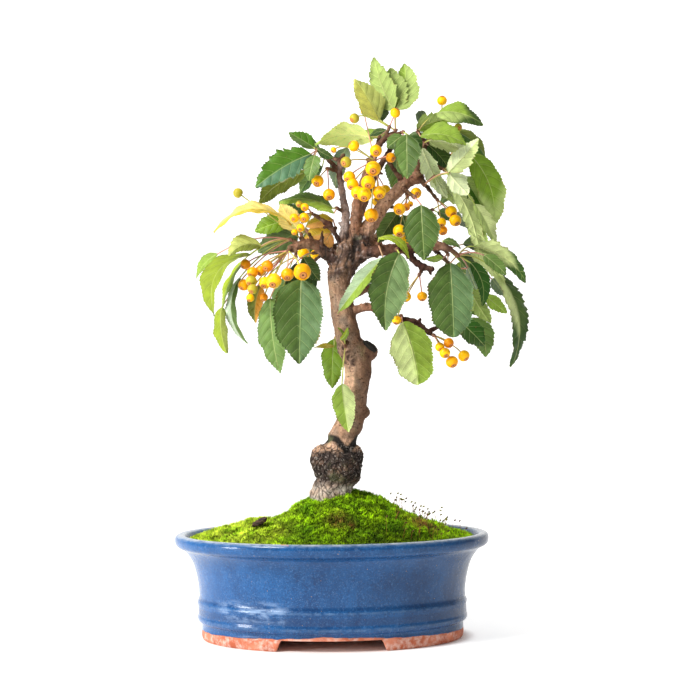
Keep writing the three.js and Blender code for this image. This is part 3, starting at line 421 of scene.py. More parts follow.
# A spray is [name, slot, point on the wood, bud, leaves]; both points are [x, z, y].
SPRAYS = [
    ["leaves_left_low", "green", [-44, 311, -15], [-44, 303, -24], [
        # the second half's tint is a painted sheen, where that half of the fold catches the light
        (-40, 285, -42, 217, -44, -50, 39, 0, 0, 6, "forest", "sheen"),
        (-65, 270, -58, 209, -26, -30, 25, 25, 0, 6, "green", "green"),
        (-72, 281, -77, 250, -12, -9, 15, 30, 5, 5, "olive", "amber"),
    ]],
    ["leaves_left_tip", "lime", [-40, 313, -13], [-48, 317, -11], [
        (-72, 312, -98, 304, -18, -28, 20, 45, 10, 15, "straw", "olive"),
        (-81, 305, -110, 256, -14, -24, 30, 55, 0, 30, "yellow_green", "yellow_green"),
        (-107, 306, -124, 286, 6, 12, 14, 50, 0, 12, "lime", "lime"),
        (-84, 303, -104, 261, -2, -4, 20, 68, 0, 8, "yellow_lime", "lime"),
        (-104, 263, -100, 226, 0, -4, 17, 45, 4, 5, "yellow_green", "olive"),
        (-89, 287, -84, 233, -10, -6, 18, 60, 8, 16, "frost_light", "green"),
    ]],
    ["leaves_left_inner", "green", [-21, 307, -6], [-30, 306, 6], [
        (-38, 303, -25, 283, 12, 16, 15, 20, 0, 6, "deep", "forest"),
        (-44, 298, -47, 258, 22, 28, 26, -40, 0, 8, "deep", "deep"),
    ]],
    ["leaves_upper_left", "green", [-8.5, 372, 10], [-26, 389, 2], [
        (-31, 386, -76, 359, -6, -16, 25, 15, 3, 5, "holly", "teal"),
        (-29, 391, -49, 403, 2, 4, 17, 40, -4, 6, "vivid", "green"),
        (-28, 385, -33, 364, -12, -18, 14, 20, 0, 6, "green", "green"),
        (-26, 390, -13, 383, -2, -4, 9, 50, 0, 8, "forest", "deep"),
        (-36, 371, -75, 345, 6, 2, 21, 135, -4, 10, "moss_olive", "moss_olive"),
    ]],
    ["leaves_shoulder", "green", [-3.7, 338, 9], [-10.5, 342, 5], [
        (-14, 342, -58, 348, 3, 5, 21, 52, 6, 8, "green", "lime"),
        (-13, 338, -27, 341, -8, -10, 6, 45, 5, 10, "lime", "lime"),
    ]],
    ["leaves_left_back", "green", [-29, 313, -9], [-33, 321, 3], [
        (-50, 333, -77, 324, 11, 9, 18, 20, 0, 5, "bright", "bright"),
        (-42, 323, -75, 307, 14, 12, 22, -10, 0, 5, "sea", "sea"),
    ]],
    ["autumn_leaves_left", "autumn", [-37, 313.5, -12], [-39.5, 321, -14], [
        (-47, 329, -110, 323, -12, -22, 24, 65, 0, 26, "cream", "butter"),
        (-43, 325, -56, 346, -8, -6, 18, -20, 0, 8, "cream", "cream"),
    ]],
    ["autumn_leaves_middle", "autumn", [-13, 322, 4], [-12, 326, 14], [
        (-14, 333, -36, 328, 18, 16, 16, 40, 0, 5, "butter", "apricot"),
        (-15, 322, -38, 318, 15, 17, 20, 15, 0, 5, "butter", "apricot"),
        (-16, 322, -24, 307, 13, 14, 12, 10, 0, 5, "apricot", "apricot"),
    ]],
    ["leaves_top_left", "lime", [20, 385, 1], [24, 399, 10], [
        (19, 398, -28, 393, 9, 14, 30, 118, 0, 14, "sunlit", "sunlit"),
        (30, 404, 16, 400, 20, 26, 14, 60, 0, 6, "forest", "deep"),
        (-2, 391, -12, 358, 24, 22, 18, 40, 5, 5, "ash", "ash"),
    ]],
    ["leaves_top", "lime", [32, 400, 4], [37, 404, 4], [
        (36, 421, 21, 464, 4, 2, 21, 150, 8, 4, "soft_lime", "soft_lime"),
        (37, 421, 45, 458, 4, 8, 24, 160, -8, 4, "lime", "soft_lime"),
        (36, 420, 34, 455, 6, 6, 25, 160, 0, 4, "soft_lime", "soft_lime"),
        (24, 413, 4, 446, 4, -2, 25, 30, 0, 6, "young", "straw"),
        (24, 412, 29, 435, 10, 16, 16, 60, 0, 5, "pale", "forest"),
    ]],
    ["leaves_top_front", "green", [30, 398, 3], [43, 403, -14], [
        (46, 401, 46, 365, -20, -26, 20, 5, 0, 6, "green", "forest"),
        (43, 400, 30, 390, -14, -16, 14, 20, 0, 6, "green", "forest"),
        (48, 400, 58, 389, -16, -20, 12, -20, 0, 5, "forest", "deep"),
    ]],
    ["leaves_top_right", "lime", [62, 391, 28], [55, 403, 2], [
        (54, 405, 82, 413, 2, -6, 20, -125, 0, 10, "soft_lime", "lime"),
        (70, 418, 108, 408, -6, -14, 24, -38, 0, 14, "lime", "soft_lime", "forest"),
        (57, 399, 94, 392, -10, -20, 22, -40, 0, 16, "lime", "lime"),
        (56, 410, 60, 420, 12, 16, 12, 30, 0, 5, "ash", "ash"),
    ]],
    ["leaves_crown_right", "pale", [58, 381, 25], [60, 394, 12], [
        (64, 396, 97, 383, 4, 2, 22, -120, 0, 12, "white_green", "pale"),
        (63, 392, 81, 370, 17, 22, 20, -35, 0, 8, "forest", "deep"),
        (82, 404, 111, 379, 10, 18, 22, -50, 0, 12, "moss_olive", "vivid"),
        (58, 390, 78, 349, 2, -2, 15, 160, 0, 6, "white_green", "white_green"),
    ]],
    ["leaves_right_pale", "pale", [58, 364, 17], [59.5, 360, -10], [
        (79, 370, 104, 397, -18, -16, 17, 160, 0, 5, "white_green", "pale"),
        (80, 369, 95, 352, -16, -18, 17, 170, 0, 5, "white_green", "white_green"),
        (68, 368, 90, 343, 2, 0, 13, 150, 0, 5, "pale", "white_green"),
    ]],
    ["leaves_right_fall", "green", [58, 381, 25], [76, 372, 8], [
        (97, 384, 114, 323, -6, 8, 25, -20, -10, 8, "bright", "bright", "soft_lime"),
        (91, 366, 107, 339, 0, 2, 18, -25, 0, 6, "vivid", "soft_lime"),
        (80, 364, 103, 299, -12, -16, 15, 160, 12, 6, "pale", "pale"),
        (95, 336, 110, 313, -6, -10, 14, 150, 0, 5, "pale", "soft_lime"),
        (100, 344, 117, 309, -10, -12, 16, -40, 0, 6, "soft_lime", "pale"),
    ]],
    ["leaves_right_heart", "green", [43, 358, 12], [52, 350, -36], [
        (57, 344, 59, 299, -52, -58, 27, 5, 0, 6, "forest", "forest"),
    ]],
    ["leaves_right_inner", "green", [27, 344, 9], [36, 342, 18], [
        (38, 338, 22, 314, 20, 24, 18, 10, 0, 5, "green", "forest"),
        (42, 336, 46, 321, 16, 18, 12, 20, 0, 5, "deep", "deep"),
    ]],
    ["leaves_right_tip", "green", [80, 308, -29], [86, 303, -34], [
        # the second half's tint is a painted sheen, where that half of the fold catches the light
        (80, 297, 82, 237, -44, -50, 35, 0, 0, 5, "forest", "sheen"),
        (96, 297, 105, 262, -32, -34, 13, -25, -12, 6, "bottle", "bottle"),
        (107, 303, 125, 287, -24, -28, 12, -20, 0, 5, "green", "green"),
        (99, 310, 142, 281, -14, -24, 24, -118, 0, 14, "pale", "pale", "deep"),
        (96, 305, 124, 273, -8, -12, 18, -120, 0, 12, "pale", "pale"),
        (115, 291, 128, 212, -8, -10, 22, -45, -4, 17, "pale", "forest", "deep"),
        (94, 293, 101, 275, -18, -16, 10, 20, 0, 5, "ash", "ash"),
    ]],
    ["leaves_right_under", "pale", [64, 311, -26], [84, 292, 0], [
        (93, 281, 112, 248, 2, -2, 18, 150, 0, 6, "soft_lime", "soft_lime"),
        (113, 284, 124, 270, 10, 14, 11, 0, 0, 5, "ash", "ash"),
        (108, 271, 125, 256, 4, 4, 11, 20, 0, 5, "lime", "lime"),
        (90, 268, 107, 256, 10, 12, 14, 10, 0, 5, "green", "green"),
    ]],
    ["leaves_right_lime", "lime", [74, 310, -28], [78, 304, -23], [
        (74, 301, 60, 301, -22, -24, 12, 110, 0, -8, "lime", "lime"),
        (74, 315, 89, 309, -16, -16, 14, -60, 0, 12, "green", "green"),
    ]],
    ["leaves_low_tip", "green", [61, 242, -24], [72, 246, -18], [
        (88, 249, 107, 230, -18, -20, 18, -10, 0, 6, "deep", "bottle"),
        (94, 252, 108, 221, -4, -6, 20, -15, -10, 6, "green", "green"),
    ]],
    ["leaves_middle_front", "lime", [27, 308, -14], [22, 313, -25], [
        (26, 302, -11, 257, -27, -38, 21, 50, -5, 6, "frost", "lime"),
        (23, 318, 47, 301, -28, -34, 12, -50, 0, 25, "yellow_lime", "yellow_lime"),
    ]],
    ["leaves_right_front", "green", [35, 308, -17], [37, 308.5, -42], [
        # the second half's tint, sea, is a painted sheen, where that half of the fold catches the light
        (39, 305, 27.5, 243, -52, -58, 30, -5, 8, 5, "forest", "sea"),
    ]],
    ["leaves_low_front", "pale", [39, 252, -18], [40, 255, -27], [
        (41, 250, 53, 199, -32, -38, 33, 170, 5, 4, "pale", "lime"),
    ]],
    ["leaves_trunk_front", "lime", [-3, 236, -6], [-5, 231, -16], [
        (-8, 201, -3, 162, -16, -18, 18, 10, 0, 5, "lime", "pale"),
        (-9, 236, -3, 246, -14, -17, 5, 30, 6, 12, "yellow_lime", "lime"),
        (-6, 238, -11, 246, -13, -15, 4, 60, 0, 10, "lime", "lime"),
    ]],
    ["leaves_trunk_back", "green", [-3, 238, 4], [-12, 241, 14], [
        (-14, 237, -16, 197, 18, 20, 19, 15, 0, 5, "bright", "bright"),
        (-14, 231, -30, 230, 12, 10, 8, 60, 0, 5, "mustard", "mustard"),
    ]],
    ["leaves_back_left", "green", [-40, 326, 66], [-46, 328, 74], [
        (-50, 325, -70, 310, 76, 86, 24, 50, 0, 10, "green", "forest"),
        (-47, 321, -56, 298, 82, 92, 24, 70, 0, 8, "forest", "green"),
        (-40, 332, -54, 345, 68, 72, 20, 50, 0, 8, "green", "deep"),
        (-36, 322, -34, 294, 86, 92, 22, -60, 0, 8, "lime", "green"),
    ]],
    ["leaves_back_low", "green", [-14, 312, 24], [-34, 296, 44], [
        (-38, 286, -44, 226, 52, 60, 32, -50, 0, 8, "green", "forest"),
        (-44, 288, -64, 262, 44, 50, 24, 65, 0, 8, "forest", "green"),
        (-30, 288, -30, 246, 38, 42, 20, 60, 0, 6, "green", "deep"),
    ]],
    ["leaves_back_right", "green", [60, 338, 64], [66, 340, 70], [
        (70, 338, 98, 322, 74, 84, 26, -60, 0, 10, "green", "forest"),
        (62, 334, 58, 302, 78, 86, 24, 60, 0, 8, "forest", "green"),
        (73, 344, 98, 352, 66, 72, 26, -70, 0, 10, "green", "deep"),
    ]],
    ["leaves_back_top", "green", [32, 388, 46], [37, 393, 50], [
        (44, 392, 62, 374, 58, 68, 28, -60, 0, 10, "green", "forest"),
        (38, 386, 42, 352, 60, 68, 24, 50, 0, 8, "forest", "green"),
        (47, 398, 76, 393, 48, 56, 26, -70, 0, 12, "green", "deep"),
        (31, 398, 4, 397, 44, 50, 24, 60, 0, 10, "lime", "green"),
        (54, 394, 86, 372, 62, 70, 28, -50, 0, 8, "vivid", "green"),
    ]],
    ["leaves_back_inner", "green", [30, 282, 58], [30, 288, 64], [
        (28, 281, 24, 250, 68, 76, 26, 60, 0, 8, "green", "forest"),
        (24, 294, 10, 272, 62, 70, 22, 70, 0, 8, "forest", "green"),
    ]],
    ["leaves_back_far_right", "green", [44, 331, 54], [78, 308, 56], [
        (78, 298, 80, 246, 62, 70, 30, -55, 0, 8, "green", "forest"),
        (84, 304, 110, 280, 56, 62, 26, -60, 0, 10, "forest", "green"),
        (90, 312, 114, 304, 48, 54, 24, -60, 0, 10, "green", "deep"),
        (88, 298, 98, 262, 44, 50, 22, 50, 0, 8, "lime", "green"),
    ]],
    ["leaves_back_upper_left", "green", [-7, 380, 11], [-20, 384, 30], [
        (-26, 382, -60, 366, 34, 42, 24, 60, 0, 8, "green", "forest"),
        (-24, 390, -46, 398, 26, 30, 18, 60, 0, 6, "forest", "green"),
        (-22, 376, -40, 354, 38, 44, 20, 50, 0, 8, "green", "deep"),
    ]],
]

# A bunch is [name, point on the wood, bud, fruits]; a fruit is [x, z, y, diameter].
BUNCHES = [
    ["fruit_left", [-44, 311, -15], [-50, 308, -20], [
        [-39, 291, -54, 13.2], [-51, 289, -40, 10], [-62, 284, -42, 12], [-69, 282.5, -34, 9.6],
        [-79, 291, -32, 8.8], [-72, 292, -26, 8.2], [-67, 296, -34, 9.2], [-84.5, 297.5, -13, 8.2],
        [-86, 281, -26, 9], [-80, 284, -36, 8.8], [-79, 277.5, -42, 8], [-81, 270.5, -32, 6.4],
        [-70, 271, -21.5, 6.4],
    ]],
    ["fruit_left_lone", [-37, 313.5, -12], [-40, 318, 2], [[-90, 355, 0, 8]]],
    ["fruit_upper_left", [-25, 334.5, 4], [-31, 338, -2], [
        [-41, 345.5, -16, 5.6], [-36.5, 343, -18, 6.4], [-37, 334.5, -20, 8], [-45, 334.5, -22, 7.2],
        [-40, 326.5, -22, 6.4],
    ]],
    ["fruit_upper", [-8.5, 372, 10], [-18, 374, 4], [[-26, 364, -10, 9.6], [-17, 353, -13, 9.6]]],
    ["fruit_middle", [16, 376, 0], [20, 380, -9], [
        [3.5, 392, -16, 8.8], [21, 388, -22, 9.6], [-3, 379, -20, 8.8], [-0.5, 367, -20, 9.6],
        [2, 361, -22, 9.6], [18.7, 373.6, -26, 12], [14.7, 362.4, -30, 11.2], [5.9, 354.4, -24, 10.4],
        [11.5, 352.8, -32, 11.2], [23.5, 354.4, -28, 10.4], [17, 336, -20, 11.2], [33, 382.4, -14, 8],
    ]],
    ["fruit_top", [28, 397, 3], [32, 407, -6], [[4, 414.4, -10, 8], [37, 418.4, -12, 8]]],
    ["fruit_top_right", [68, 400, 26], [74, 404, 18], [
        [74.7, 428, 6, 8], [87.5, 406.4, 2, 6.4], [83.5, 383.2, 26, 6.4],
    ]],
    ["fruit_right_inner", [43, 360, 14], [46, 351, 4], [
        [39.5, 340.8, -14, 9.6], [45, 342.4, -8, 6.4], [39.5, 323.2, -16, 10.4], [53, 353.6, -8, 8.8],
    ]],
    ["fruit_right_outer", [58, 364, 17], [70, 348, 14], [
        [73, 329.6, 2, 8], [74, 323.2, 6, 8], [81, 338.4, 6, 9.6], [84.3, 331.2, 3, 9.6],
    ]],
    ["fruit_right_spur", [59, 294, -24], [55, 288, -28], [[43.5, 270.4, -30, 9.2], [57, 270.4, -26, 8]]],
    ["fruit_low", [61, 242, -24], [66, 239, -28], [
        [77.9, 232.8, -32, 8], [70.7, 229.6, -36, 7.2], [74.7, 224.8, -38, 8.4], [80.3, 217.6, -34, 9.6],
        [89.9, 222.4, -30, 9.2],
    ]],
    ["fruit_back_left", [-28, 322, 48], [-32, 316, 58], [
        [-38, 306, 66, 10], [-28, 305, 62, 9], [-36, 296, 74, 9.5],
    ]],
    ["fruit_back_right", [40, 330, 52], [48, 330, 62], [
        [50, 322, 70, 10], [44, 316, 64, 9], [54, 309, 64, 9.5],
    ]],
    ["fruit_back_top", [20, 368, 40], [22, 368, 52], [
        [16, 358, 60, 10], [28, 356, 62, 9.5], [22, 347, 54, 9],
    ]],
]


# ---- leaves ---------------------------------------------------------------------------------------------

# the tints that the leaves are painted in
# sheen is a painted sheen: the paler tint of the half of a folded leaf that catches the light
TINTS = {
    "forest": "#496229", "deep": "#35521e", "bottle": "#2c5613", "green": "#627f3c", "vivid": "#4a741b",
    "holly": "#4a741b", "sunlit": "#f2fba4", "frost_light": "#d3e2c8", "young": "#e3e277",
    "bright": "#739424", "sea": "#68814f", "teal": "#4f7452", "sheen": "#567245", "ash": "#74866a",
    "olive": "#7b8634", "moss_olive": "#7f8f39", "yellow_green": "#8ea02a",
    "yellow_lime": "#a6ba33", "lime": "#8fab41", "soft_lime": "#a5b968", "pale": "#bfcc88",
    "white_green": "#dae4b4", "frost": "#a3b994", "straw": "#bcc46c", "cream": "#f3e08c",
    "butter": "#e5ca52", "mustard": "#bfae34", "amber": "#cf9333", "apricot": "#ffc976",
}
SPOT_TINT = "#7a4f2c"
STALK_TINTS = ("#b9c25c", "#c9a27a", "#a9b94c", "#c58f7c")
LEAF_BLUSH, FRUIT_BLUSH = "#b8605a", "#b0524a"  # the red flush of a leaf's stalk and of a fruit's
PALE_SIDE = np.array([0.3, 0.42, 0.16])  # what a leaf's lower side pales towards
MIDRIB = np.array([0.42, 0.42, 0.16])  # what its midrib pales towards
TURNED = (0.55, 0.7, 0.4)  # how dark the hidden upper side of a leaf is that shows its lower side

BLADE = 0.34  # thickness
FOLD = 0.2  # rise of each half from the midrib, as a share of its width
TOOTH_PITCH = 2.5
HALF_COLUMNS = 9
STALK_RADIUS = 0.55
STALK, SCALES = 1, 2  # where stalks and bud scales stand among a piece's materials
ROUND_SPRAYS = ("leaves_right_tip", "leaves_low_front")  # the first leaf of each is oval
RAGGED_TINTS = ("pale", "white_green", "soft_lime", "holly")  # leaves of these tints have a ragged edge


def outline(t, blunt):
    """Half width at t along a blade, as a share of the widest. A blunt blade is fuller towards its tip."""
    drawn_out = t ** 0.62 * (1 - t) ** 0.9 / 0.358
    full = t ** 0.58 * (1 - t) ** 0.6 / 0.442
    return full if blunt else drawn_out


def leaf_frame(leaf):
    """The midrib's three control points, the upper side's direction, the leaf's right, and its length."""
    base = place(leaf.base_x, leaf.base_z, leaf.base_y)
    tip = place(leaf.tip_x, leaf.tip_z, leaf.tip_y)
    length = (tip - base).length
    along = (tip - base).normalized()
    facing = Vector((0, -1, 0))
    facing = (facing - along * facing.dot(along)).normalized()
    side = along.cross(facing).normalized()
    angle = math.radians(leaf.turn)
    up = facing * math.cos(angle) + side * math.sin(angle)
    right = along.cross(up).normalized()
    middle = base.lerp(tip, 0.5)
    bend = middle + right * (2 * leaf.sway * length / 100) + up * (2 * leaf.arch * length / 100)
    return base, bend, tip, up, right, length


def tooth_edge(t, half, luck):
    """How far each row's tooth stands out from a blade's edge, and how far it leans towards the tip."""
    step = np.arange(len(t)) % 3
    taper = np.clip(4 * t * (1 - t), 0, 1) ** 0.35
    jagged = 1 + 0.45 * np.sin(t * luck.uniform(40, 70))
    stands_out = (0.028 * half + 0.3) * taper * jagged * np.array([-0.6, 0.15, 0.8])[step]
    return stands_out, np.array([0, 0.1, 0.45])[step] * taper


def half_width(t, half, blunt, luck):
    """The blade's half width in each row, a little uneven."""
    broad = np.sin(t * luck.uniform(9, 15) + luck.uniform(0, 6)) * 0.05
    fine = 0.035 * np.sin(t * luck.uniform(22, 34) + luck.uniform(0, 6))
    return half * outline(t, blunt) * (1 + broad + fine)


def torn_edge(t, c, length, luck):
    """What the stepped tears of a ragged edge add to the width or take from it."""
    steps = t * length / luck.uniform(5.5, 8.5) + 0.3 * np.sin(t * 8 + luck.uniform(0, 6))
    return 0.24 * ((steps[:, None] + 0.4 * (c > 0)) % 1 - 0.5) * c ** 2


def side_veins(t, c, out, length):
    """Where each point lies among the side veins, which run out and forward, and how far apart they are."""
    veins = 3 + int(length > 24) + int(length > 42) + int(length > 58)
    spacing = 0.86 * length / veins
    phase = (t[:, None] * length - 0.65 * out - 0.032 * out ** 2) / spacing + 0.35 * (c > 0)
    return phase, spacing


def blade_lift(t, c, half, length, out, phase, luck):
    """How far a blade stands off the flat: folded, quilted between its veins, rippled and rolled."""
    groove = np.exp(-((np.abs(phase - np.round(phase)) / 0.15) ** 2))
    body = np.clip(out / 1.2, 0, 1) * (1 - np.abs(c) ** 4)
    swell = (0.24 + 0.018 * half) * (np.sin(math.pi * np.abs(phase % 1)) ** 0.8 - 0.4 * groove) * body
    rise = FOLD * (np.sqrt(out ** 2 + 0.5) - 0.7)
    along = t[:, None] * length
    short = np.sin(along / luck.uniform(2.0, 2.9) + luck.uniform(0, 6) + 1.5 * c)
    long = 1.3 * np.sin(along / luck.uniform(4.5, 7) + luck.uniform(0, 6) - 2 * c)
    ripple = 0.048 * half * (short + long) * c ** 2
    roll = luck.uniform(-0.5, 0.3) * half * np.clip(t[:, None] - 0.5, 0, 1) ** 2
    roll = roll * (1 + c * luck.uniform(-1, 1))
    cup = luck.uniform(-0.16, 0.05) * half * c ** 2
    return rise + swell + ripple + roll + cup


def blade_faces(rows, columns):
    """The faces of a thin sheet: its upper side, its lower side, and the rim that joins them."""
    total = rows * columns
    upper = strips(rows, columns)
    lower = [[corner + total for corner in reversed(face)] for face in upper]
    ring = [i * columns for i in range(rows)]
    ring += [(rows - 1) * columns + k for k in range(1, columns)]
    ring += [i * columns + columns - 1 for i in range(rows - 2, -1, -1)]
    ring += list(range(columns - 2, 0, -1))
    rim = [[a, a + total, b + total, b] for a, b in zip(ring, ring[1:] + ring[:1])]
    return upper + lower + rim


def half_tints(leaf, right):
    """The tints of the half on the leaf's right and on its left."""
    first, second = (np.array(linear(TINTS[name])) for name in (leaf.first, leaf.second))
    level = abs(right.z) > abs(right.x)
    right_is_first = right.z > 0 if level else right.x < 0
    return (first, second) if right_is_first else (second, first)


def blade_tints(leaf, t, c, right, offset, middle, seed):
    """The tints of a blade's upper side and of its lower side, point by point."""
    first, second = half_tints(leaf, right)
    side = np.clip(0.5 + offset / 1.2, 0, 1).reshape(-1, 1)
    tint = first * side + second * (1 - side)
    if leaf.far:
        far = np.clip((np.repeat(t, len(c)) - 0.62 + 0.25 * np.tile(np.abs(c), len(t))) / 0.2, 0, 1)
        tint = blend(tint, np.array(linear(TINTS[leaf.far])), far)
    tint = tint * (1 + 0.12 * wobble(middle.reshape(-1, 3), 9, seed % 97))[:, None]
    if abs(leaf.turn) > 90:
        return tint * TURNED, tint
    return tint, tint * 0.62 + PALE_SIDE * 0.38


def add_blade(form, leaf, seed, blunt):
    """One blade: a thin closed sheet, toothed, folded at the midrib and quilted between its veins."""
    base, bend, tip, up, right, length = leaf_frame(leaf)
    half = leaf.width / 2
    luck = np.random.default_rng(seed)
    rows = 3 * max(5, round(length / TOOTH_PITCH)) + 1
    t = np.linspace(0.004, 0.997, rows)
    c = np.linspace(-1, 1, 2 * HALF_COLUMNS + 1)
    c = np.sign(c) * np.abs(c) ** 0.92
    curve = bezier(base, bend, tip, t)
    tangent = unit(np.gradient(curve, axis=0))
    across = unit(np.cross(tangent, np.array(up)))
    normal = np.cross(across, tangent)

    tooth, lean = tooth_edge(t, half, luck)
    wide = half_width(t, half, blunt, luck)
    lopsided = 1 + 0.1 * luck.uniform(-1, 1) * np.sign(c)
    torn = torn_edge(t, c, length, luck) * (leaf.first in RAGGED_TINTS and not blunt)
    edge = np.abs(c) ** 5
    offset = c * wide[:, None] * (lopsided + torn) + np.sign(c) * edge * tooth[:, None]
    out = np.abs(offset)
    phase, spacing = side_veins(t, c, out, length)
    lift = blade_lift(t, c, half, length, out, phase, luck)

    spine = curve[:, None, :] + tangent[:, None, :] * (edge * lean[:, None])[:, :, None]
    middle = spine + across[:, None, :] * offset[:, :, None] + normal[:, None, :] * lift[:, :, None]
    thick = normal[:, None, :] * (BLADE / 2 * (1 - 0.45 * np.abs(c) ** 3)[None, :, None])
    front, back = blade_tints(leaf, t, c, right, offset, middle, seed)
    values = {
        "offset": np.tile(offset.ravel(), 2),
        "vein": np.tile(phase.ravel(), 2),
        "gap": spacing,
        "edge": np.tile(np.abs(c), 2 * rows),
        "under": np.repeat([0.0, 1.0], offset.size),
        "tint": np.vstack([front, back]),
    }
    form.add(np.stack([middle + thick, middle - thick]), blade_faces(rows, len(c)), 0, **values)

    # the midrib stands out below
    ribs = np.linspace(0, 0.93, 16)
    path = bezier(base, bend, tip, ribs) - normal[0] * 0.12
    radii = STALK_RADIUS * (1 - ribs) ** 0.8 * 0.8 + 0.12
    add_tube(form, path, radii, 6, STALK, tint=back.mean(0) * 0.55 + MIDRIB * 0.45)


def flushed(number, blush, share):
    """A stalk's tint along its length, flushed with red by a share in each row."""
    colour = np.array(linear(STALK_TINTS[number % len(STALK_TINTS)]))
    return colour * (1 - share[:, None]) + np.array(linear(blush)) * share[:, None]


def add_stalk(form, leaf, bud_at, number):
    """A leaf's stalk, stouter at the bud."""
    base = leaf_frame(leaf)[0]
    reach = (base - bud_at).length
    crook = bud_at.lerp(base, 0.5)
    crook.z += 0.2 * reach if reach > 20 else 0.04 * reach
    t = np.linspace(0, 1, max(6, int(reach / 2)))
    path = bezier(bud_at, crook, base, t)
    radii = STALK_RADIUS * (1 + 0.5 * np.exp(-t * reach / 1.6))
    add_tube(form, path, radii, 8, STALK, tint=flushed(number, LEAF_BLUSH, 0.5 * (1 - t) ** 2))


def add_bud(form, bud_at, from_point):
    """A scaly bud on its twig: tiers of scales that lap over each other."""
    axis = (bud_at - from_point).normalized()
    sides, tiers = 12, 13
    u = np.linspace(0, 1, tiers)
    shape = 1.75 * np.sin(math.pi * np.clip(u * 0.93 + 0.04, 0, 1)) ** 0.7 * (1 - 0.25 * u)
    path = np.array(bud_at) + np.outer(-2.2 + 4.6 * u, np.array(axis))
    angles = np.arange(sides) * 2 * math.pi / sides
    lap = (u[:, None] * 4 + 0.25 * np.sin(2 * angles[None, :])) % 1
    radii = shape[:, None] * (0.86 + 0.26 * (1 - lap))
    points, faces = closed(rings(path, radii, sides), path[[0, -1]])
    form.add(points, faces, SCALES, lap=np.concatenate([lap.ravel(), [0, 0]]))


def make_spray(number, name, colour, start, at, leaves, paints):
    """The leaves of one spur, with their stalks and the bud they grow from."""
    form = Form()
    bud_at = place(*at)
    add_bud(form, bud_at, place(*start))
    for k, row in enumerate(leaves):
        leaf = Leaf(*row)
        add_stalk(form, leaf, bud_at, number + k)
        add_blade(form, leaf, 100 * number + k, k == 0 and name in ROUND_SPRAYS)
    deliver(form.piece(f"spray_{name}", paints), f"leaf_{colour}", name)


# ---- fruit ----------------------------------------------------------------------------------------------

# each fruit's skin is blotched with two tints
FRUIT_TINTS = {
    "gold": ("#ffcb08", "#f4ae04"), "lemon": ("#ffd826", "#f6c00c"), "orange": ("#f2a20c", "#e2840a"),
    "olive": ("#bfb033", "#9a9028"), "amber": ("#f8b40a", "#ee9806"),
}

# fruits whose tint isn't gold, by bunch and number
ODD_FRUIT = {
    "fruit_left": {
        0: "amber", 1: "amber", 2: "lemon", 3: "lemon", 4: "amber", 5: "amber", 6: "orange", 7: "orange",
        8: "amber", 9: "olive", 10: "olive", 12: "orange",
    },
    "fruit_left_lone": {0: "olive"},
    "fruit_upper_left": {0: "olive"},
    "fruit_upper": {1: "amber"},
    "fruit_middle": {2: "olive", 10: "amber", 11: "amber"},
    "fruit_top": {0: "olive"},
    "fruit_top_right": {1: "olive", 2: "orange"},
    "fruit_right_inner": {1: "orange"},
    "fruit_right_outer": {1: "orange"},
    "fruit_right_spur": {1: "amber"},
    "fruit_low": {0: "orange", 3: "amber"},
}

# set fruits that never grew: bunch, then [x, z, y, diameter]
TINY_FRUIT = {
    "fruit_upper_left": [[-45, 323, -20, 4.8], [-60.5, 259, -12, 6.4]],
    "fruit_middle": [[-13, 389, -8, 4.8], [11.5, 420, 0, 4.8]],
    "fruit_right_inner": [[48.3, 344.8, -2, 4.8]],
    "fruit_right_spur": [[36.3, 251.5, -31, 7.6]],
}


def fruit_axis(centre, spur):
    """The stalk leaves a fruit this way: towards the spur, and upwards unless the fruit stands on it."""
    axis = (spur - centre).normalized()
    if axis.z > -0.5:
        axis.z = abs(axis.z) + 0.6
        axis.y += 0.9
    return axis.normalized()


def add_fruit(form, row, spur, tint, seed):
    """A pome, with its eye, the dimple that its stalk grows from, and the stalk."""
    x, z, y, diameter = row
    luck = np.random.default_rng(seed)
    centre = place(x, z, y)
    axis = fruit_axis(centre, spur)
    radius = 1.02 * diameter / 2
    sides, tiers = 22, 17

    # from the eye, at angle 0, to the stalk, at angle pi
    angle = np.linspace(0.02, math.pi - 0.02, tiers)
    dimple = 0.3 * np.exp(-(((math.pi - angle) / 0.36) ** 2))
    eye = 0.13 * np.exp(-((angle / 0.2) ** 2)) - 0.06 * np.exp(-(((angle - 0.36) / 0.13) ** 2))
    lobes = 1 + 0.012 * np.cos(5 * np.arange(sides) * 2 * math.pi / sides + luck.uniform(0, 6))
    profile = radius * (1 - dimple - eye)
    heights = -np.cos(angle) * profile * luck.uniform(0.9, 0.99)
    around = (np.sin(angle) * profile)[:, None] * lobes[None, :]
    path = np.array(centre) + np.outer(heights, np.array(axis))
    side = unit(np.cross(np.array(axis), (0.31, 1, 0.17)))
    other = np.cross(np.array(axis), side)
    turns = np.arange(sides) * 2 * math.pi / sides
    circle = np.cos(turns)[:, None] * side + np.sin(turns)[:, None] * other
    hoops = path[:, None, :] + around[:, :, None] * circle[None, :, :]
    points, faces = closed(hoops, path[[0, -1]])
    lit, dark = (np.array(linear(c)) for c in FRUIT_TINTS[tint])
    patch = np.clip(0.5 + 0.5 * wobble(points, radius * 1.4, seed % 31), 0, 1)[:, None]
    pole = np.concatenate([np.repeat(angle, sides), [0, math.pi]])
    form.add(points, faces, 0, pole=pole, tint=lit * (1 - patch) + dark * patch)
    add_fruit_stalk(form, spur, centre, axis, radius, seed, luck)


def add_fruit_stalk(form, spur, centre, axis, radius, number, luck):
    """A stalk that bows from the spur down into a fruit's dimple."""
    reach = (spur - centre).length
    bow = centre + axis * (0.45 * reach)
    t = np.linspace(0, 1, max(7, int(reach / 2)))
    path = bezier(spur, bow, centre + axis * (0.6 * radius), t)
    radii = 0.5 * (1 + 0.5 * np.exp(-t * reach / 1.5) + 0.3 * np.exp(-(1 - t) * reach / 2))
    share = luck.uniform(0.15, 0.65) * (1 - 0.5 * t)
    add_tube(form, path, radii, 8, STALK, tint=flushed(number, FRUIT_BLUSH, share))


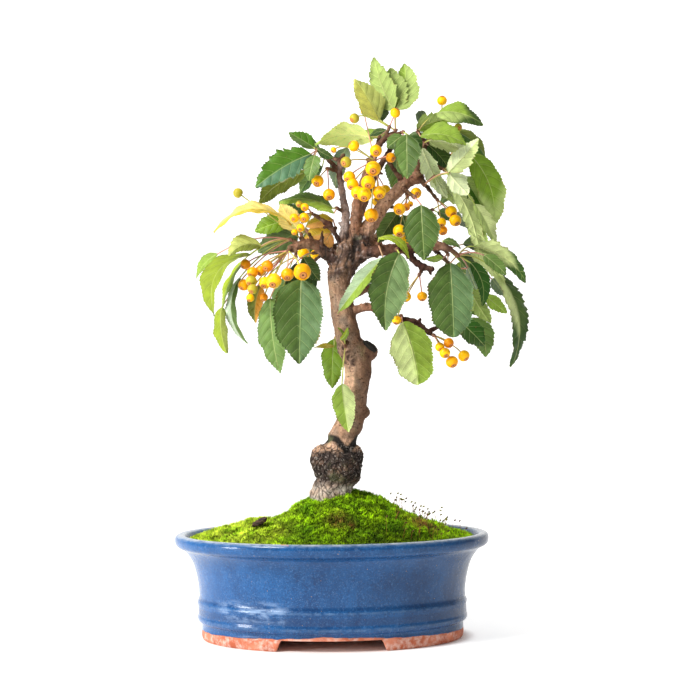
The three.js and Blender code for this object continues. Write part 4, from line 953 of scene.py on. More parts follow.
def make_bunch(number, name, start, at, fruits, paints):
    """The fruits of one spur, with their stalks and the bud they grow from."""
    form = Form()
    spur = place(*at)
    add_bud(form, spur, place(*start))
    tints = ODD_FRUIT.get(name, {})
    for k, row in enumerate(fruits + TINY_FRUIT.get(name, [])):
        add_fruit(form, row, spur, tints.get(k, "gold"), 50 * number + k)
    deliver(form.piece(f"bunch_{name}", paints), "fruit", name)


# ---- trunk, limbs and twigs -----------------------------------------------------------------------------

VOXEL = 0.88  # size of the remeshed wood's faces
PATH_STEP = 1.6  # between the rows of a limb
SAMPLES_AT_ONCE = 64  # rows of wood that each point is measured from in one go
LIMB_SIDES = 16
STEM_RADIUS = 7  # wood that is stouter belongs to the stem
STUB_CUT = (Vector((14.6, -2, 231)), Vector((0.6, -0.42, 0.68)))  # the pruned face: a point and its normal
STUB_X = 2  # the stub stands out to the right of this
HOLLOW = (5, 315)  # the rotted hole in the crotch: x, z; its near-black paint is painted shade in the hole

# the line where the crown was grafted on, as x and z
GRAFT = [(-24, 155), (-17.3, 158.4), (-12.5, 156.8), (-7.7, 151.2), (-4.5, 148), (-0.5, 151.2), (6, 158)]

# dead spurs on a limb: the least radius of limb that carries one, the first row and the rows apart, how far
# the longest stands out, and the radius of limb that carries a stout one
KNOBBLY_SPURS = (1.3, 3, 2, 4.2, 2.2)
SMOOTH_SPURS = (2, 4, 7, 3.4, 3)

BARK_TINTS = {
    "bark": "#a68268", "painted_shade_side": "#5c3a29", "pink": "#cfa78a", "grey": "#9e8876", "burl": "#3d322e",
    "foot": "#cdc1b4", "crotch": "#47352f", "limb": "#8c644e", "twig": "#543428", "shoot": "#6b5636",
    "silver": "#cfbcb4", "maroon": "#3f211e", "graft": "#231f1c", "cut": "#2d2a28", "scar": "#4d3c36",
}
BARK = {name: np.array(linear(tint)) for name, tint in BARK_TINTS.items()}
# a painted highlight: paler pink for the lit left side of the stem
BARK["painted_lit_side"] = BARK["pink"] * 1.25


def all_wood():
    """Every limb and twig, as rows of x, y, z and radius along its length."""
    limbs = [TRUNK, *LIMBS.values()]
    rows = [[[*place(x, z, y), radius] for x, z, y, radius in limb] for limb in limbs]
    paths = [smooth_path(limb, PATH_STEP) for limb in rows]
    ends = [row[2:4] for row in SPRAYS] + [row[1:3] for row in BUNCHES]
    for k, (start, at) in enumerate(ends):
        a, b = place(*start), place(*at)
        reach = (b - a).length
        along = (b - a).normalized()
        bend = a.lerp(b, 0.5) + Vector((math.sin(k * 2.4), math.cos(k * 1.7), 0.5)) * (0.03 * reach)
        t = np.linspace(0, 1, max(5, int(reach / PATH_STEP)))
        path = bezier(a, bend, b - along * 1.6, t)
        radii = 1.85 - 0.5 * t + 0.35 * np.exp(-(((t - 0.96) / 0.06) ** 2))
        paths.append(np.column_stack([path, radii]))
    return paths


def add_spurs(form, paths):
    """Short dead spurs along the limbs."""
    luck = np.random.default_rng(SEED + 1)
    for name, path in zip(LIMBS, paths):
        least, first, apart, longest, stout = KNOBBLY_SPURS if name in KNOBBLY_LIMBS else SMOOTH_SPURS
        rows = path[(path[:, 3] > least) & (path[:, 3] < 5.6)]
        for k in range(first, len(rows) - 3, apart):
            x, y, z, radius = rows[k]
            along = unit(rows[k + 1, :3] - rows[k - 1, :3])
            out = unit(np.cross(along, luck.normal(0, 1, 3)) + 0.4 * along)
            reach = radius + luck.uniform(0.8, longest)
            t = np.linspace(0, 1, 6)
            bent = np.array([x, y, z]) + np.outer(t * reach, out) + np.outer(t ** 2, luck.normal(0, 0.6, 3))
            add_tube(form, bent, (1.7 - 0.6 * t) * min(1, radius / stout), 10)


def add_knot(form, x, z, y, across, tall):
    """A lump that is round from above and as tall as it has to be."""
    sides, tiers = 22, 16
    angle = np.linspace(0.05, math.pi - 0.05, tiers)
    path = np.array(place(x, z, y)) + np.outer(-np.cos(angle) * tall, (0, 0, 1))
    form.add(*closed(rings(path, np.sin(angle) * across, sides), path[[0, -1]]))


def remeshed(form, name):
    """The shapes in a form grown together into one skin, as arrays of points, normals and faces."""
    rough = form.piece(name, [])
    remesh = rough.modifiers.new("one skin", "REMESH")
    remesh.mode = "VOXEL"
    remesh.voxel_size = VOXEL * MM
    remesh.use_smooth_shade = True
    soften = rough.modifiers.new("soften", "SMOOTH")
    soften.factor = 0.5
    soften.iterations = 3
    seen = rough.evaluated_get(bpy.context.evaluated_depsgraph_get())
    mesh = bpy.data.meshes.new_from_object(seen)
    bpy.data.objects.remove(rough)
    count = len(mesh.vertices)
    points, normals = np.zeros(count * 3), np.zeros(count * 3)
    mesh.vertices.foreach_get("co", points)
    mesh.vertices.foreach_get("normal", normals)
    faces = [list(face.vertices) for face in mesh.polygons]
    return points.reshape(-1, 3) / MM, normals.reshape(-1, 3), faces


def nearest_wood(points, paths):
    """For each point, the radius of the wood there and the middle of that wood."""
    samples = np.vstack(paths)
    radius, middle = np.zeros(len(points)), np.zeros((len(points), 3))
    best = np.full(len(points), 1e9)
    for start in range(0, len(samples), SAMPLES_AT_ONCE):
        part = samples[start:start + SAMPLES_AT_ONCE]
        far = np.linalg.norm(points[:, None, :] - part[None, :, :3], axis=2) - part[None, :, 3]
        pick = far.argmin(1)
        found = far[np.arange(len(points)), pick]
        closer = found < best
        best[closer] = found[closer]
        radius[closer] = part[pick[closer], 3]
        middle[closer] = part[pick[closer], :3]
    return radius, middle


def to_line(x, z, line):
    """Distance in the upright plane to a line of points."""
    best = np.full(len(x), 1e9)
    for (x0, z0), (x1, z1) in zip(line, line[1:]):
        t = np.clip(((x - x0) * (x1 - x0) + (z - z0) * (z1 - z0)) / ((x1 - x0) ** 2 + (z1 - z0) ** 2), 0, 1)
        best = np.minimum(best, np.hypot(x - x0 - t * (x1 - x0), z - z0 - t * (z1 - z0)))
    return best


def bark_zones(points, radius):
    """How far each point lies in each zone of the wood, from 0 to 1."""
    x, y, z = points.T
    stem = (radius > STEM_RADIUS).astype(float)
    crotch = window(z, 289, 318, 7) * window(x, -22, 14, 6)
    thin = window(radius, 1.6, 6.5, 0.8)
    crack = np.exp(-((wobble(points * (1, 1, 0.3), 4.6, 9) / 0.1) ** 2))
    hollow = np.exp(-(((x - HOLLOW[0]) / 2.6) ** 2 + ((z - HOLLOW[1]) / 3) ** 2)) * (y < 0)
    return {
        "burl": window(z, 125, 149, 7) * stem,
        "foot": window(z, 30, 119, 6) * stem,
        "graft": np.exp(-((to_line(x, z, GRAFT) / 2.5) ** 2)) * stem,
        "scars": window(x, -11, 2, 2) * window(z, 214, 231, 3) * (y < 0),
        "crotch": crotch, "thin": thin, "crack": crack, "hollow": hollow,
        "split": np.clip(crack * (crotch + 0.35 * thin) + 1.4 * hollow, 0, 1),
    }


def bark_relief(points, radius, zones):
    """How far the bark stands out from the smooth wood at each point."""
    fine, mid, coarse = wobble(points, 1.5, 1), wobble(points, 4.2, 2), wobble(points, 11, 3)
    relief = np.clip(radius / 9, 0.12, 1) * (0.24 * fine + 0.42 * mid + 0.6 * coarse)
    flakes = np.abs(wobble(points * (1, 1, 1.5), 4.6, 4))
    lumps = 2.4 * (0.5 - flakes) + 0.7 * wobble(points, 2, 5) + 1.1 * wobble(points, 8, 8)
    relief += zones["burl"] * lumps
    folds = 0.9 * wobble(points * (1, 1, 0.35), 5, 10) + 0.7 * fine - 0.9 * zones["crack"] - 0.3
    relief += zones["crotch"] * folds - 4 * zones["hollow"]
    relief += zones["foot"] * (0.8 * mid + 0.4 * fine)
    relief += zones["scars"] * (1.5 * np.abs(wobble(points, 3.4, 13)) + 0.3 * fine)
    relief += zones["thin"] * (1.1 * np.abs(wobble(points, 4, 6)) + 0.6 * wobble(points, 2.1, 7) - 0.15)
    return relief - 1.5 * zones["graft"]


def saw_stub(points, on_stub):
    """The points with the pruned stub sawn flat in a lip of callus, and which of them are on the face."""
    at, normal = (np.array(v) for v in STUB_CUT)
    normal = normal / np.linalg.norm(normal)
    past = (points - at) @ normal
    away = np.linalg.norm(points - at - past[:, None] * normal, axis=1)
    cut = (past > -0.6) * (past < 9) * (away < 11) * on_stub
    lip = 0.9 * np.exp(-(((away - 7.6) / 1.3) ** 2)) - 0.5
    sawn = points - np.where(cut, past - lip, 0)[:, None] * normal
    return sawn, (cut * (away < 6.9)).astype(float)


def limb_coats(points, radius, middle):
    """The tints laid over the plain bark of stem, limbs and twigs, and each one's share at each point. They
    include painted shade on the right of each limb and painted light on the left of the stem.
    """
    x, y, z = points.T
    front = y < 0
    patchy, streaky = wobble(points, 7, 11), wobble(points * (1, 1, 0.35), 2.6, 12)
    right = np.clip((x - middle[:, 0]) / np.maximum(radius, 1) + 0.15, 0, 1)
    right_limb = window(x, 12, 42, 3) * window(z, 322, 362, 5) * (y > -4) * (radius > 4)
    upright = window(x, -9, -1, 1.5) * window(z, 320, 374, 6) * window(y, 4, 15, 2)
    hanging = window(x, 46, 70, 2) * window(z, 286, 304, 2) + window(x, 30, 66, 4) * window(z, 238, 257, 4)
    return [
        ("grey", np.clip(0.3 + patchy, 0, 1)),
        ("pink", np.clip(0.7 * streaky + 0.1, 0, 1)),
        # painted shade: the right side of each limb, away from the light, made darker
        ("painted_shade_side", 0.85 * right * np.clip((z - 200) / 40 + 0.8, 0.8, 1)),
        # painted light: the left front of the stem, where the light falls, made paler
        ("painted_lit_side", window(x, -6, 1, 2) * window(z, 188, 214, 5) * front),
        ("limb", window(radius, 3.2, 7, 1.5) * np.clip(0.85 - 0.7 * streaky, 0, 1)),
        ("pink", 0.6 * right_limb),
        ("twig", window(x, 14, 60, 4) * window(z, 300, 312, 3) * (y < 2) * 0.8),
        ("silver", upright * np.clip(0.9 - streaky, 0, 1)),
        ("twig", np.clip((3.6 - radius) / 1.2, 0, 1) * np.clip(0.8 + patchy, 0, 1)),
        ("shoot", np.clip((1.75 - radius) / 0.3, 0, 1) * 0.5),
        ("maroon", 0.75 * np.clip(hanging, 0, 1) * front),
    ]


def zone_coats(points, radius, zones):
    """The tints of the zones, laid over those of the limbs, and each one's share at each point."""
    z = points[:, 2]
    patchy = wobble(points, 7, 11)
    knobs = np.abs(wobble(points, 3.4, 13))
    flecks = np.clip(4 * wobble(points, 2.2, 14) - 0.9, 0, 1)
    swollen = zones["burl"] * np.clip((149.5 - z) / 4 + 0.2 * patchy, 0, 1)
    return [
        ("crotch", zones["crotch"] * np.clip(0.65 + 0.8 * patchy, 0, 1)),
        ("scar", 0.9 * zones["scars"] * np.clip(3 * knobs - 0.3, 0, 1)),
        ("silver", zones["crotch"] * flecks * 0.35),
        # dark in the cracks and near black in the hollow; the hollow's black is painted shade
        ("cut", 0.85 * zones["split"]),
        ("foot", zones["foot"] * np.clip(0.75 + 0.9 * patchy, 0, 1)),
        ("pink", window(z, 147, 156, 2) * (radius > STEM_RADIUS) * 0.7),
        ("burl", swollen * np.clip(0.92 + 0.5 * patchy, 0, 1)),
        ("graft", np.clip(2.4 * zones["graft"] - 0.3, 0, 1)),
        ("cut", zones["cut"]),
    ]


def tint_bark(points, radius, middle, zones):
    """The plain bark's tint with all the others laid over it in turn."""
    tint = np.tile(BARK["bark"], (len(points), 1))
    for name, share in limb_coats(points, radius, middle) + zone_coats(points, radius, zones):
        tint = blend(tint, BARK[name], share)
    return tint


def make_trunk(paint):
    """The stem, limbs and twigs grown together into one skin of bark."""
    paths = all_wood()
    form = Form()
    for path in paths:
        add_tube(form, path[:, :3], path[:, 3], LIMB_SIDES)
    for knot in KNOTS:
        add_knot(form, *knot)
    add_spurs(form, paths[1:1 + len(LIMBS)])
    points, normals, faces = remeshed(form, "rough_wood")
    radius, middle = nearest_wood(points, paths)
    zones = bark_zones(points, radius)
    shaped = points + normals * bark_relief(points, radius, zones)[:, None]
    shaped, zones["cut"] = saw_stub(shaped, points[:, 0] > STUB_X)
    values = {
        "tint": tint_bark(points, radius, middle, zones),
        "burl": np.clip(zones["burl"] + 0.6 * zones["foot"], 0, 1),
        "stout": np.clip(radius / 8, 0, 1),
        "cut": zones["cut"],
    }
    skin = Form()
    skin.add(shaped, faces, 0, **values)
    deliver(skin.piece("trunk_bark", [paint]), "bark", "trunk")


# ---- pot ------------------------------------------------------------------------------------------------

POT_X = -17.2
OVAL = 25  # the half-width of any ring is this much less than its half-length
FLOOR = 17
FLOOR_LENGTH = 92  # half the length of the floor inside
FOOT_HEIGHT = 8.7
FLAT_LENGTH = 84  # half the length of the flat underside, inside the foot ring
PASSAGE = 42  # half the width of the passage between the feet
PASSAGE_SLOPE = 4.6
PASSAGE_TURN = math.acos(39.5 / 96)  # where the passage crosses the foot ring
POT_SIDES = 220
GLAZE_OVER_RIM = 16  # rows past the widest that are still glazed
DRAIN_RADIUS = 11
DRAIN_SIDES = 40
DRAIN_X = 48

# the section, as [half-length, height], from the middle of the underside out, up and back in
UNDERSIDE = [[84.6, 8.7], [85.2, 8.2]]
FOOT = [
    [85.3, 7], [85.5, 2.4], [86.6, 0.5], [88.5, 0.05], [101.6, 0.05], [103.3, 0.6], [104, 2.2], [104.2, 5],
]
WALL = [
    [104.1, 9], [104.1, 12], [104.8, 13.3], [106.3, 14.3], [107.2, 16], [107.3, 17.8], [106.9, 19.2],
    [106.8, 21.5], [106.9, 24.5], [107, 26.6], [107.3, 27.9], [107.3, 29.3], [106.9, 30.6], [106.3, 31.8],
    [106, 34], [106.1, 38], [106.9, 45], [108.3, 52], [110.3, 59], [113, 64.5], [116.4, 68.8], [119, 71],
    [121.6, 72.2], [123.6, 73.6], [124.7, 75.6], [125, 78], [124.7, 80.2], [123.7, 81.7], [122, 82.4],
    [119.4, 82.4], [117.3, 81.8], [116.1, 80.4],
]
INNER = [[114.6, 77], [108.5, 66], [104.6, 59], [102.3, 52], [100.6, 44], [98.4, 30], [96.6, 20], [94, 17.2]]


def foot_lift(x):
    """How far the passage between the two feet lifts the foot ring at x."""
    slope = np.clip((PASSAGE - np.abs(x)) / PASSAGE_SLOPE, 0, 1)
    return FOOT_HEIGHT * slope * slope * (3 - 2 * slope)


def pot_angles():
    """Angles round the pot, closer together where the feet end."""
    near = np.linspace(-0.06, 0.06, 11)
    steps = [np.linspace(0, 2 * math.pi, POT_SIDES, endpoint=False)]
    for turn in (PASSAGE_TURN, math.pi - PASSAGE_TURN, math.pi + PASSAGE_TURN, 2 * math.pi - PASSAGE_TURN):
        steps.append(turn + near)
    return np.unique(np.round(np.concatenate(steps), 4))


def pot_rows():
    """The section as rows of half-length, height, and the share of the way out from the middle."""
    section = smooth_path([[h, z, 0] for h, z in UNDERSIDE + FOOT + WALL + INNER], 1.7)
    flat = [(FLAT_LENGTH, FOOT_HEIGHT, share) for share in (0.05, 0.3, 0.6, 0.85, 1)]
    inside = [(FLOOR_LENGTH, FLOOR, share) for share in (1, 0.8, 0.5, 0.05)]
    return np.array(flat + [(h, z, 1) for h, z, _ in section] + inside)


def make_pot(paint):
    """The pot, with its feet lifted for the passage, and its wall a little uneven from the hand."""
    rows, angles = pot_rows(), pot_angles()
    h, z, share = rows.T
    x = share[:, None] * h[:, None] * np.cos(angles)
    y = share[:, None] * (h[:, None] - OVAL) * np.sin(angles)
    low = np.repeat(z[:, None], len(angles), 1)
    lift = foot_lift(x) * ((h > FLAT_LENGTH + 0.3) & (share == 1))[:, None]
    squeezed = lift + low * (1 - 0.985 * lift / FOOT_HEIGHT)
    low = np.where((low < FOOT_HEIGHT) & (lift > 0), squeezed, low)
    points = np.stack([POT_X + x, y, low], -1).reshape(-1, 3)
    hand = wobble(points, 38, 21) * 0.3 + wobble(points, 9, 22) * 0.07
    out = unit(np.stack([points[:, 0] - POT_X, points[:, 1], np.zeros(len(points))], -1))
    above_ground = (points[:, 2] > 1)[:, None]
    points = points + out * hand[:, None] * above_ground
    hoops = points.reshape(len(rows), len(angles), 3)
    skin, faces = closed(hoops, [[POT_X, 0, FOOT_HEIGHT], [POT_X, 0, FLOOR]])
    outside = np.arange(len(rows)) < int(h.argmax()) + GLAZE_OVER_RIM
    form = Form()
    form.add(skin, faces, 0, outside=np.concatenate([np.repeat(outside.astype(float), len(angles)), [0, 0]]))
    pot = form.piece("pot_glazed", [paint])
    drill_drains(pot)
    deliver(pot, "pot", "pot")


def drill_drains(pot):
    """The two drainage holes, cut through the floor."""
    form = Form()
    for x in (POT_X - DRAIN_X, POT_X + DRAIN_X):
        path = [[x, 0, FOOT_HEIGHT - 4], [x, 0, FLOOR + 4]]
        add_tube(form, path, [DRAIN_RADIUS, DRAIN_RADIUS], DRAIN_SIDES)
    drills = form.piece("drills", [])
    cut = pot.modifiers.new("drains", "BOOLEAN")
    cut.operation = "DIFFERENCE"
    cut.solver = "EXACT"
    cut.object = drills
    seen = pot.evaluated_get(bpy.context.evaluated_depsgraph_get())
    mesh = bpy.data.meshes.new_from_object(seen)
    pot.modifiers.clear()
    pot.data = mesh
    bpy.data.objects.remove(drills)


# ---- drainage mesh and its clips ------------------------------------------------------------------------


MESH_STRANDS = 12
MESH_SPAN = 32.4  # from the first strand to the last
STRAND_POINTS = 34
STRAND_HALF = 17
STRAND_RADIUS = 0.36
CLIP_RADIUS = 0.75


def make_drain(side, x, plastic, steel):
    """What covers one drainage hole."""
    make_mesh(side, x, plastic)
    make_clip(side, x, steel)


def make_mesh(side, x, plastic):
    """A square of woven plastic mesh over a drainage hole."""
    level = FLOOR + 0.95
    t = np.linspace(-STRAND_HALF, STRAND_HALF, STRAND_POINTS)
    form = Form()
    for k in range(MESH_STRANDS):
        u = -MESH_SPAN / 2 + MESH_SPAN * k / (MESH_STRANDS - 1)
        weave = 0.22 * np.cos(t * math.pi * (MESH_STRANDS - 1) / MESH_SPAN + k * math.pi)
        lengthwise = np.column_stack([x + t, np.full(STRAND_POINTS, u), level + weave])
        crosswise = np.column_stack([np.full(STRAND_POINTS, x + u), t, level - weave])
        for path in (lengthwise, crosswise):
            add_tube(form, path, np.full(STRAND_POINTS, STRAND_RADIUS), 6)
    deliver(form.piece(f"plastic_mesh_{side}", [plastic]), "mesh", f"drainage_mesh_{side}")


def make_clip(side, x, steel):
    """The bent wire that pins the mesh over its hole, its two ends turned out below the floor."""
    top, below = FLOOR + 2.7, FOOT_HEIGHT - 1.15
    leg = [
        [-13.5, below], [-10, below], [-8.6, below + 0.5], [-8.5, below + 2],
        [-8.5, top - 2], [-8.1, top - 0.5], [-6.8, top], [0, top],
    ]
    bent = leg + [[-u, z] for u, z in reversed(leg[:-1])]
    path = smooth_path([[x + u, 0, z] for u, z in bent], 0.5)
    form = Form()
    add_tube(form, path, np.full(len(path), CLIP_RADIUS), 12)
    deliver(form.piece(f"bent_wire_{side}", [steel]), "wire", f"mesh_clip_{side}")


# ---- moss and what lies on it ---------------------------------------------------------------------------

STEM_X = -17.5
MOUND_X = -6
HOLE = 15.4  # radius of the hole that the stem stands in
MOSS_LENGTH = 113.6  # half the length of the mat
UNDER_LENGTH = 108  # half the length of its underside
MAT_SIDES = 260
MAT_THICKNESS = 7
SHOOT_LEAVES = 4
SHOOT_PITCH = 1.76
CAPSULES = 75  # before those that fall outside are left out
FLAKE = {"x": -73, "y": -34, "rise": 3.9, "half": (7, 4, 3), "tilt": -0.45}

# ovals round the middle of the pot, as half-lengths and half-depths
SLOPE_OVAL = (108, 84)
CUSHION_OVAL = (112, 87)
SHOOT_OVAL = (113, 88)
CAPSULE_OVAL = (108, 83)

# worn brown patches in the moss: x, y, how wide, how strong
BROWN_PATCHES = [
    (-12, -47, 8, 0.85), (-2, -55, 5, 0.6), (54, -24, 12, 0.8), (-58, -52, 10, 0.3), (20, 40, 14, 0.6),
]


def oval_share(x, y, oval):
    """How far out x and y lie from an oval's middle: 1 on its edge."""
    return np.hypot(x / oval[0], y / oval[1])


def moss_height(x, y):
    """The moss's slope up to the stem, without its cushions."""
    far = oval_share(x - POT_X, y, SLOPE_OVAL)
    near = oval_share(x - MOUND_X, y, (44, 40))
    return 79 + 18 * (1 - np.minimum(1, far) ** 2) + 19 * np.exp(-(near ** 2))


def moss_relief(x, y):
    """Cushions of moss: broad swells, small tufts and the pits between."""
    flat = np.column_stack([x, y, np.zeros(len(x))])
    swells = wobble(flat, 15, 31)
    tufts = np.abs(wobble(flat, 6.5, 32))
    edge = np.clip((1 - oval_share(x - POT_X, y, CUSHION_OVAL)) / 0.12, 0, 1)
    hollow = np.exp(-(oval_share(x - 6, y + 14, (9, 6)) ** 2))
    lumps = 2.4 * swells + 4.2 * (tufts - 0.3) + 0.9 * wobble(flat, 2.8, 33)
    lumps -= 4.5 * np.exp(-(((x + 61) / 14) ** 2) - (y / 45) ** 2)
    return edge * lumps - 3 * hollow


def moss_tint(x, y, luck):
    """Fresh or dark in patches, golden at the left and the rim, and worn brown here and there, with painted
    light on the tufts, painted shade between them, and painted shade over the right front.
    """
    flat = np.column_stack([x, y, np.zeros(len(x))])
    fresh, dark, gold, brown = (np.array(linear(c)) for c in ("#8bb40e", "#4d7a08", "#b6c93a", "#8c6430"))
    tint = blend(np.tile(fresh, (len(x), 1)), dark, np.clip(0.45 + 0.8 * wobble(flat, 13, 34), 0, 0.9))
    by_rim = np.clip((oval_share(x - POT_X, y, CUSHION_OVAL) - 0.9) / 0.1, 0, 1) * 0.35
    golden = np.clip(np.clip((-38 - x) / 50, 0, 1) + by_rim, 0, 1)
    tint = blend(tint, gold, golden * np.clip(0.7 + wobble(flat, 6, 35), 0, 1))
    for cx, cy, wide, strength in BROWN_PATCHES:
        share = strength * np.exp(-(((x - cx) / wide) ** 2 + ((y - cy) / wide) ** 2))
        tint = blend(tint, brown, np.clip(share * (1 + 1.4 * wobble(flat, 3.2, 36)), 0, 0.95))
    # painted light and shade: brighter on the tufts and darker in the creases between them, and darker at
    # the right front, away from the light
    tuft_light_and_crease_shade = np.clip(0.5 + 2.6 * np.abs(wobble(flat, 6.5, 32)), 0.5, 1.7)
    front_right_shade = 1 - 0.68 * np.clip((x + 48) / 80, 0, 1) * np.clip((-44 - y) / 20, 0, 1)
    return tint * (tuft_light_and_crease_shade * front_right_shade * (1 + 0.6 * luck + 0.5 * wobble(flat, 3.4, 37)))[:, None]


def oval_spots(half_length, shares):
    """Points in rings from round the stem out to an oval."""
    angle = 2 * math.pi * np.arange(MAT_SIDES) / MAT_SIDES
    outer = np.column_stack([half_length * np.cos(angle), (half_length - OVAL) * np.sin(angle)])
    inner = HOLE * np.column_stack([np.cos(angle), np.sin(angle)]) + (STEM_X - POT_X, 0)
    made = inner[None] + (outer - inner)[None] * np.asarray(shares)[:, None, None]
    return (made + (POT_X, 0)).reshape(-1, 2)


def make_moss(paint):
    """The mat of moss: a cushioned top that rolls down at the rim, and a plain underside."""
    shares = np.linspace(0, 1, 80) ** 0.9
    back = [1, 0.75, 0.5, 0.25, 0]
    top, bottom = oval_spots(MOSS_LENGTH, shares), oval_spots(UNDER_LENGTH, back)
    high = moss_height(*top.T) + moss_relief(*top.T) - 0.7
    high -= 3.4 * np.clip((np.repeat(shares, MAT_SIDES) - 0.972) / 0.028, 0, 1) ** 2
    low = moss_height(*bottom.T) - MAT_THICKNESS
    points = np.vstack([np.column_stack([top, high]), np.column_stack([bottom, low])])
    rows = len(shares) + len(back)
    last = (rows - 1) * MAT_SIDES
    after = [(k + 1) % MAT_SIDES for k in range(MAT_SIDES)]
    hole = [[last + k, last + after[k], after[k], k] for k in range(MAT_SIDES)]
    form = Form()
    tint = moss_tint(*points[:, :2].T, np.zeros(len(points))) * 0.62
    form.add(points, strips(rows, MAT_SIDES, True) + hole, 0, tint=tint)
    deliver(form.piece("moss_mat", [paint]), "moss", "moss")


def make_shoots(paint):
    """The moss's leafy shoots: small pointed stars, in two pieces, left and right."""
    u, v = np.meshgrid(np.arange(-70, 71), np.arange(-62, 63))
    spots = np.column_stack([(u + 0.5 * (v % 2)).ravel() * SHOOT_PITCH, v.ravel() * SHOOT_PITCH * 0.87])
    spots += random.uniform(-0.6, 0.6, spots.shape)
    inside = oval_share(*spots.T, SHOOT_OVAL) < 1
    clear = np.hypot(spots[:, 0] + POT_X - STEM_X, spots[:, 1]) > HOLE + 1.8
    spots = spots[inside & clear] + (POT_X, 0)
    for side, part in (("left", spots[:, 0] < POT_X), ("right", spots[:, 0] >= POT_X)):
        form = Form()
        add_shoots(form, spots[part])
        deliver(form.piece(f"moss_shoots_{side}", [paint]), "moss")


def add_shoots(form, spots):
    """A star of pointed leaves at each spot, with painted shade towards the foot and painted light at the
    tip.
    """
    x, y = spots.T
    count = len(x)
    high = moss_height(x, y) + moss_relief(x, y)
    high -= 2.2 * np.clip((oval_share(x - POT_X, y, SHOOT_OVAL) - 0.975) / 0.025, 0, 1) ** 2
    foot = np.column_stack([x, y, high - 0.5])[:, None, :]
    turn = random.uniform(0, 2 * math.pi, (count, 1)) + np.arange(SHOOT_LEAVES) * 2 * math.pi / SHOOT_LEAVES
    turn = turn + random.normal(0, 0.3, turn.shape)
    spread = random.uniform(0.35, 1.15, turn.shape) * (np.arange(SHOOT_LEAVES) > 0) + 0.1
    reach = random.uniform(1.9, 3.7, turn.shape)[:, :, None]
    wide = random.uniform(0.4, 0.62, turn.shape)[:, :, None]
    along = np.stack([np.cos(turn) * np.sin(spread), np.sin(turn) * np.sin(spread), np.cos(spread)], -1)
    across = np.stack([-np.sin(turn), np.cos(turn), 0 * turn], -1) * wide
    back = np.cross(across, along)
    leaf = np.stack([foot + across, foot - across, foot + 1.1 * back, foot + along * reach], 2)
    faces = np.array([[0, 1, 3], [1, 2, 3], [2, 0, 3], [0, 2, 1]])
    full = (faces[None] + 4 * np.arange(count * SHOOT_LEAVES)[:, None, None]).reshape(-1, 3).tolist()
    # painted light and shade: each leaf is dark at its foot, low among the shoots, and bright at its tip
    foot_to_tip = np.array([0.3, 0.3, 0.3, 2.3])[:, None]
    tint = moss_tint(x, y, random.uniform(-1, 1, count))[:, None, None, :] * foot_to_tip
    form.add(leaf, full, 0, tint=np.broadcast_to(tint, leaf.shape).reshape(-1, 3))


def make_capsules(paint):
    """Spore capsules on hair-thin stalks, in the moss at the right."""
    form = Form()
    for k in range(CAPSULES):
        x = random.normal(58, 18)
        y = random.uniform(-62, 30)
        if oval_share(x - POT_X, y, CAPSULE_OVAL) > 1 or x < 20:
            continue
        tall = random.uniform(5, 13)
        lean = random.normal(0, 0.22, 2)
        t = np.linspace(0, 1, 7)
        sway = tall * t ** 1.6
        path = np.column_stack([x + lean[0] * sway, y + lean[1] * sway, float(moss_height(x, y)) + tall * t])
        stalk, pod = linear("#9a5a34" if k % 3 else "#a9913a"), linear("#5c4528" if k % 2 else "#83802f")
        add_tube(form, path, np.full(7, 0.13), 5, 0, tint=stalk)
        nod = unit(np.array([lean[0] + 0.6, lean[1], 0.35]))
        pod_path = path[-1] + np.outer(np.linspace(0, 2.1, 8), nod)
        add_tube(form, pod_path, [0.14, 0.4, 0.6, 0.68, 0.66, 0.52, 0.3, 0.1], 8, 0, tint=pod)
    deliver(form.piece("moss_capsules", [paint]), "moss")


def make_flake(paint):
    """A flake of dead bark, in layers with a broken edge."""
    sides, tiers = 72, 40
    angle = np.linspace(0.04, math.pi - 0.04, tiers)
    path = np.outer(-np.cos(angle), (0, 0, 1.0))
    ball, faces = closed(rings(path, np.sin(angle), sides), [[0, 0, -1], [0, 0, 1]])
    box = np.sign(ball) * np.abs(ball) ** 0.75
    points = box * FLAKE["half"] * (0.93, 0.93, 0.74)
    layers = np.round(points[:, 2] / 0.9 + 0.7 * wobble(points, 4, 41))
    rim = oval_share(points[:, 0], points[:, 1], FLAKE["half"])
    broken = 0.07 * np.cos(layers * 2.3) * (rim > 0.5) + 0.16 * wobble(points, 3, 42)
    points[:, :2] *= (1 + broken)[:, None]
    points[:, 2] += 0.45 * wobble(points, 1.8, 43) + 0.7 * wobble(points, 5, 44)
    points = points @ np.array(Matrix.Rotation(FLAKE["tilt"], 3, "Y")).T
    x, y = FLAKE["x"], FLAKE["y"]
    form = Form()
    form.add(points + (x, y, float(moss_height(x, y)) + FLAKE["rise"]), faces)
    deliver(form.piece("dead_bark_flake", [paint]), "dead_bark", "bark_flake")


# ---- materials ------------------------------------------------------------------------------------------


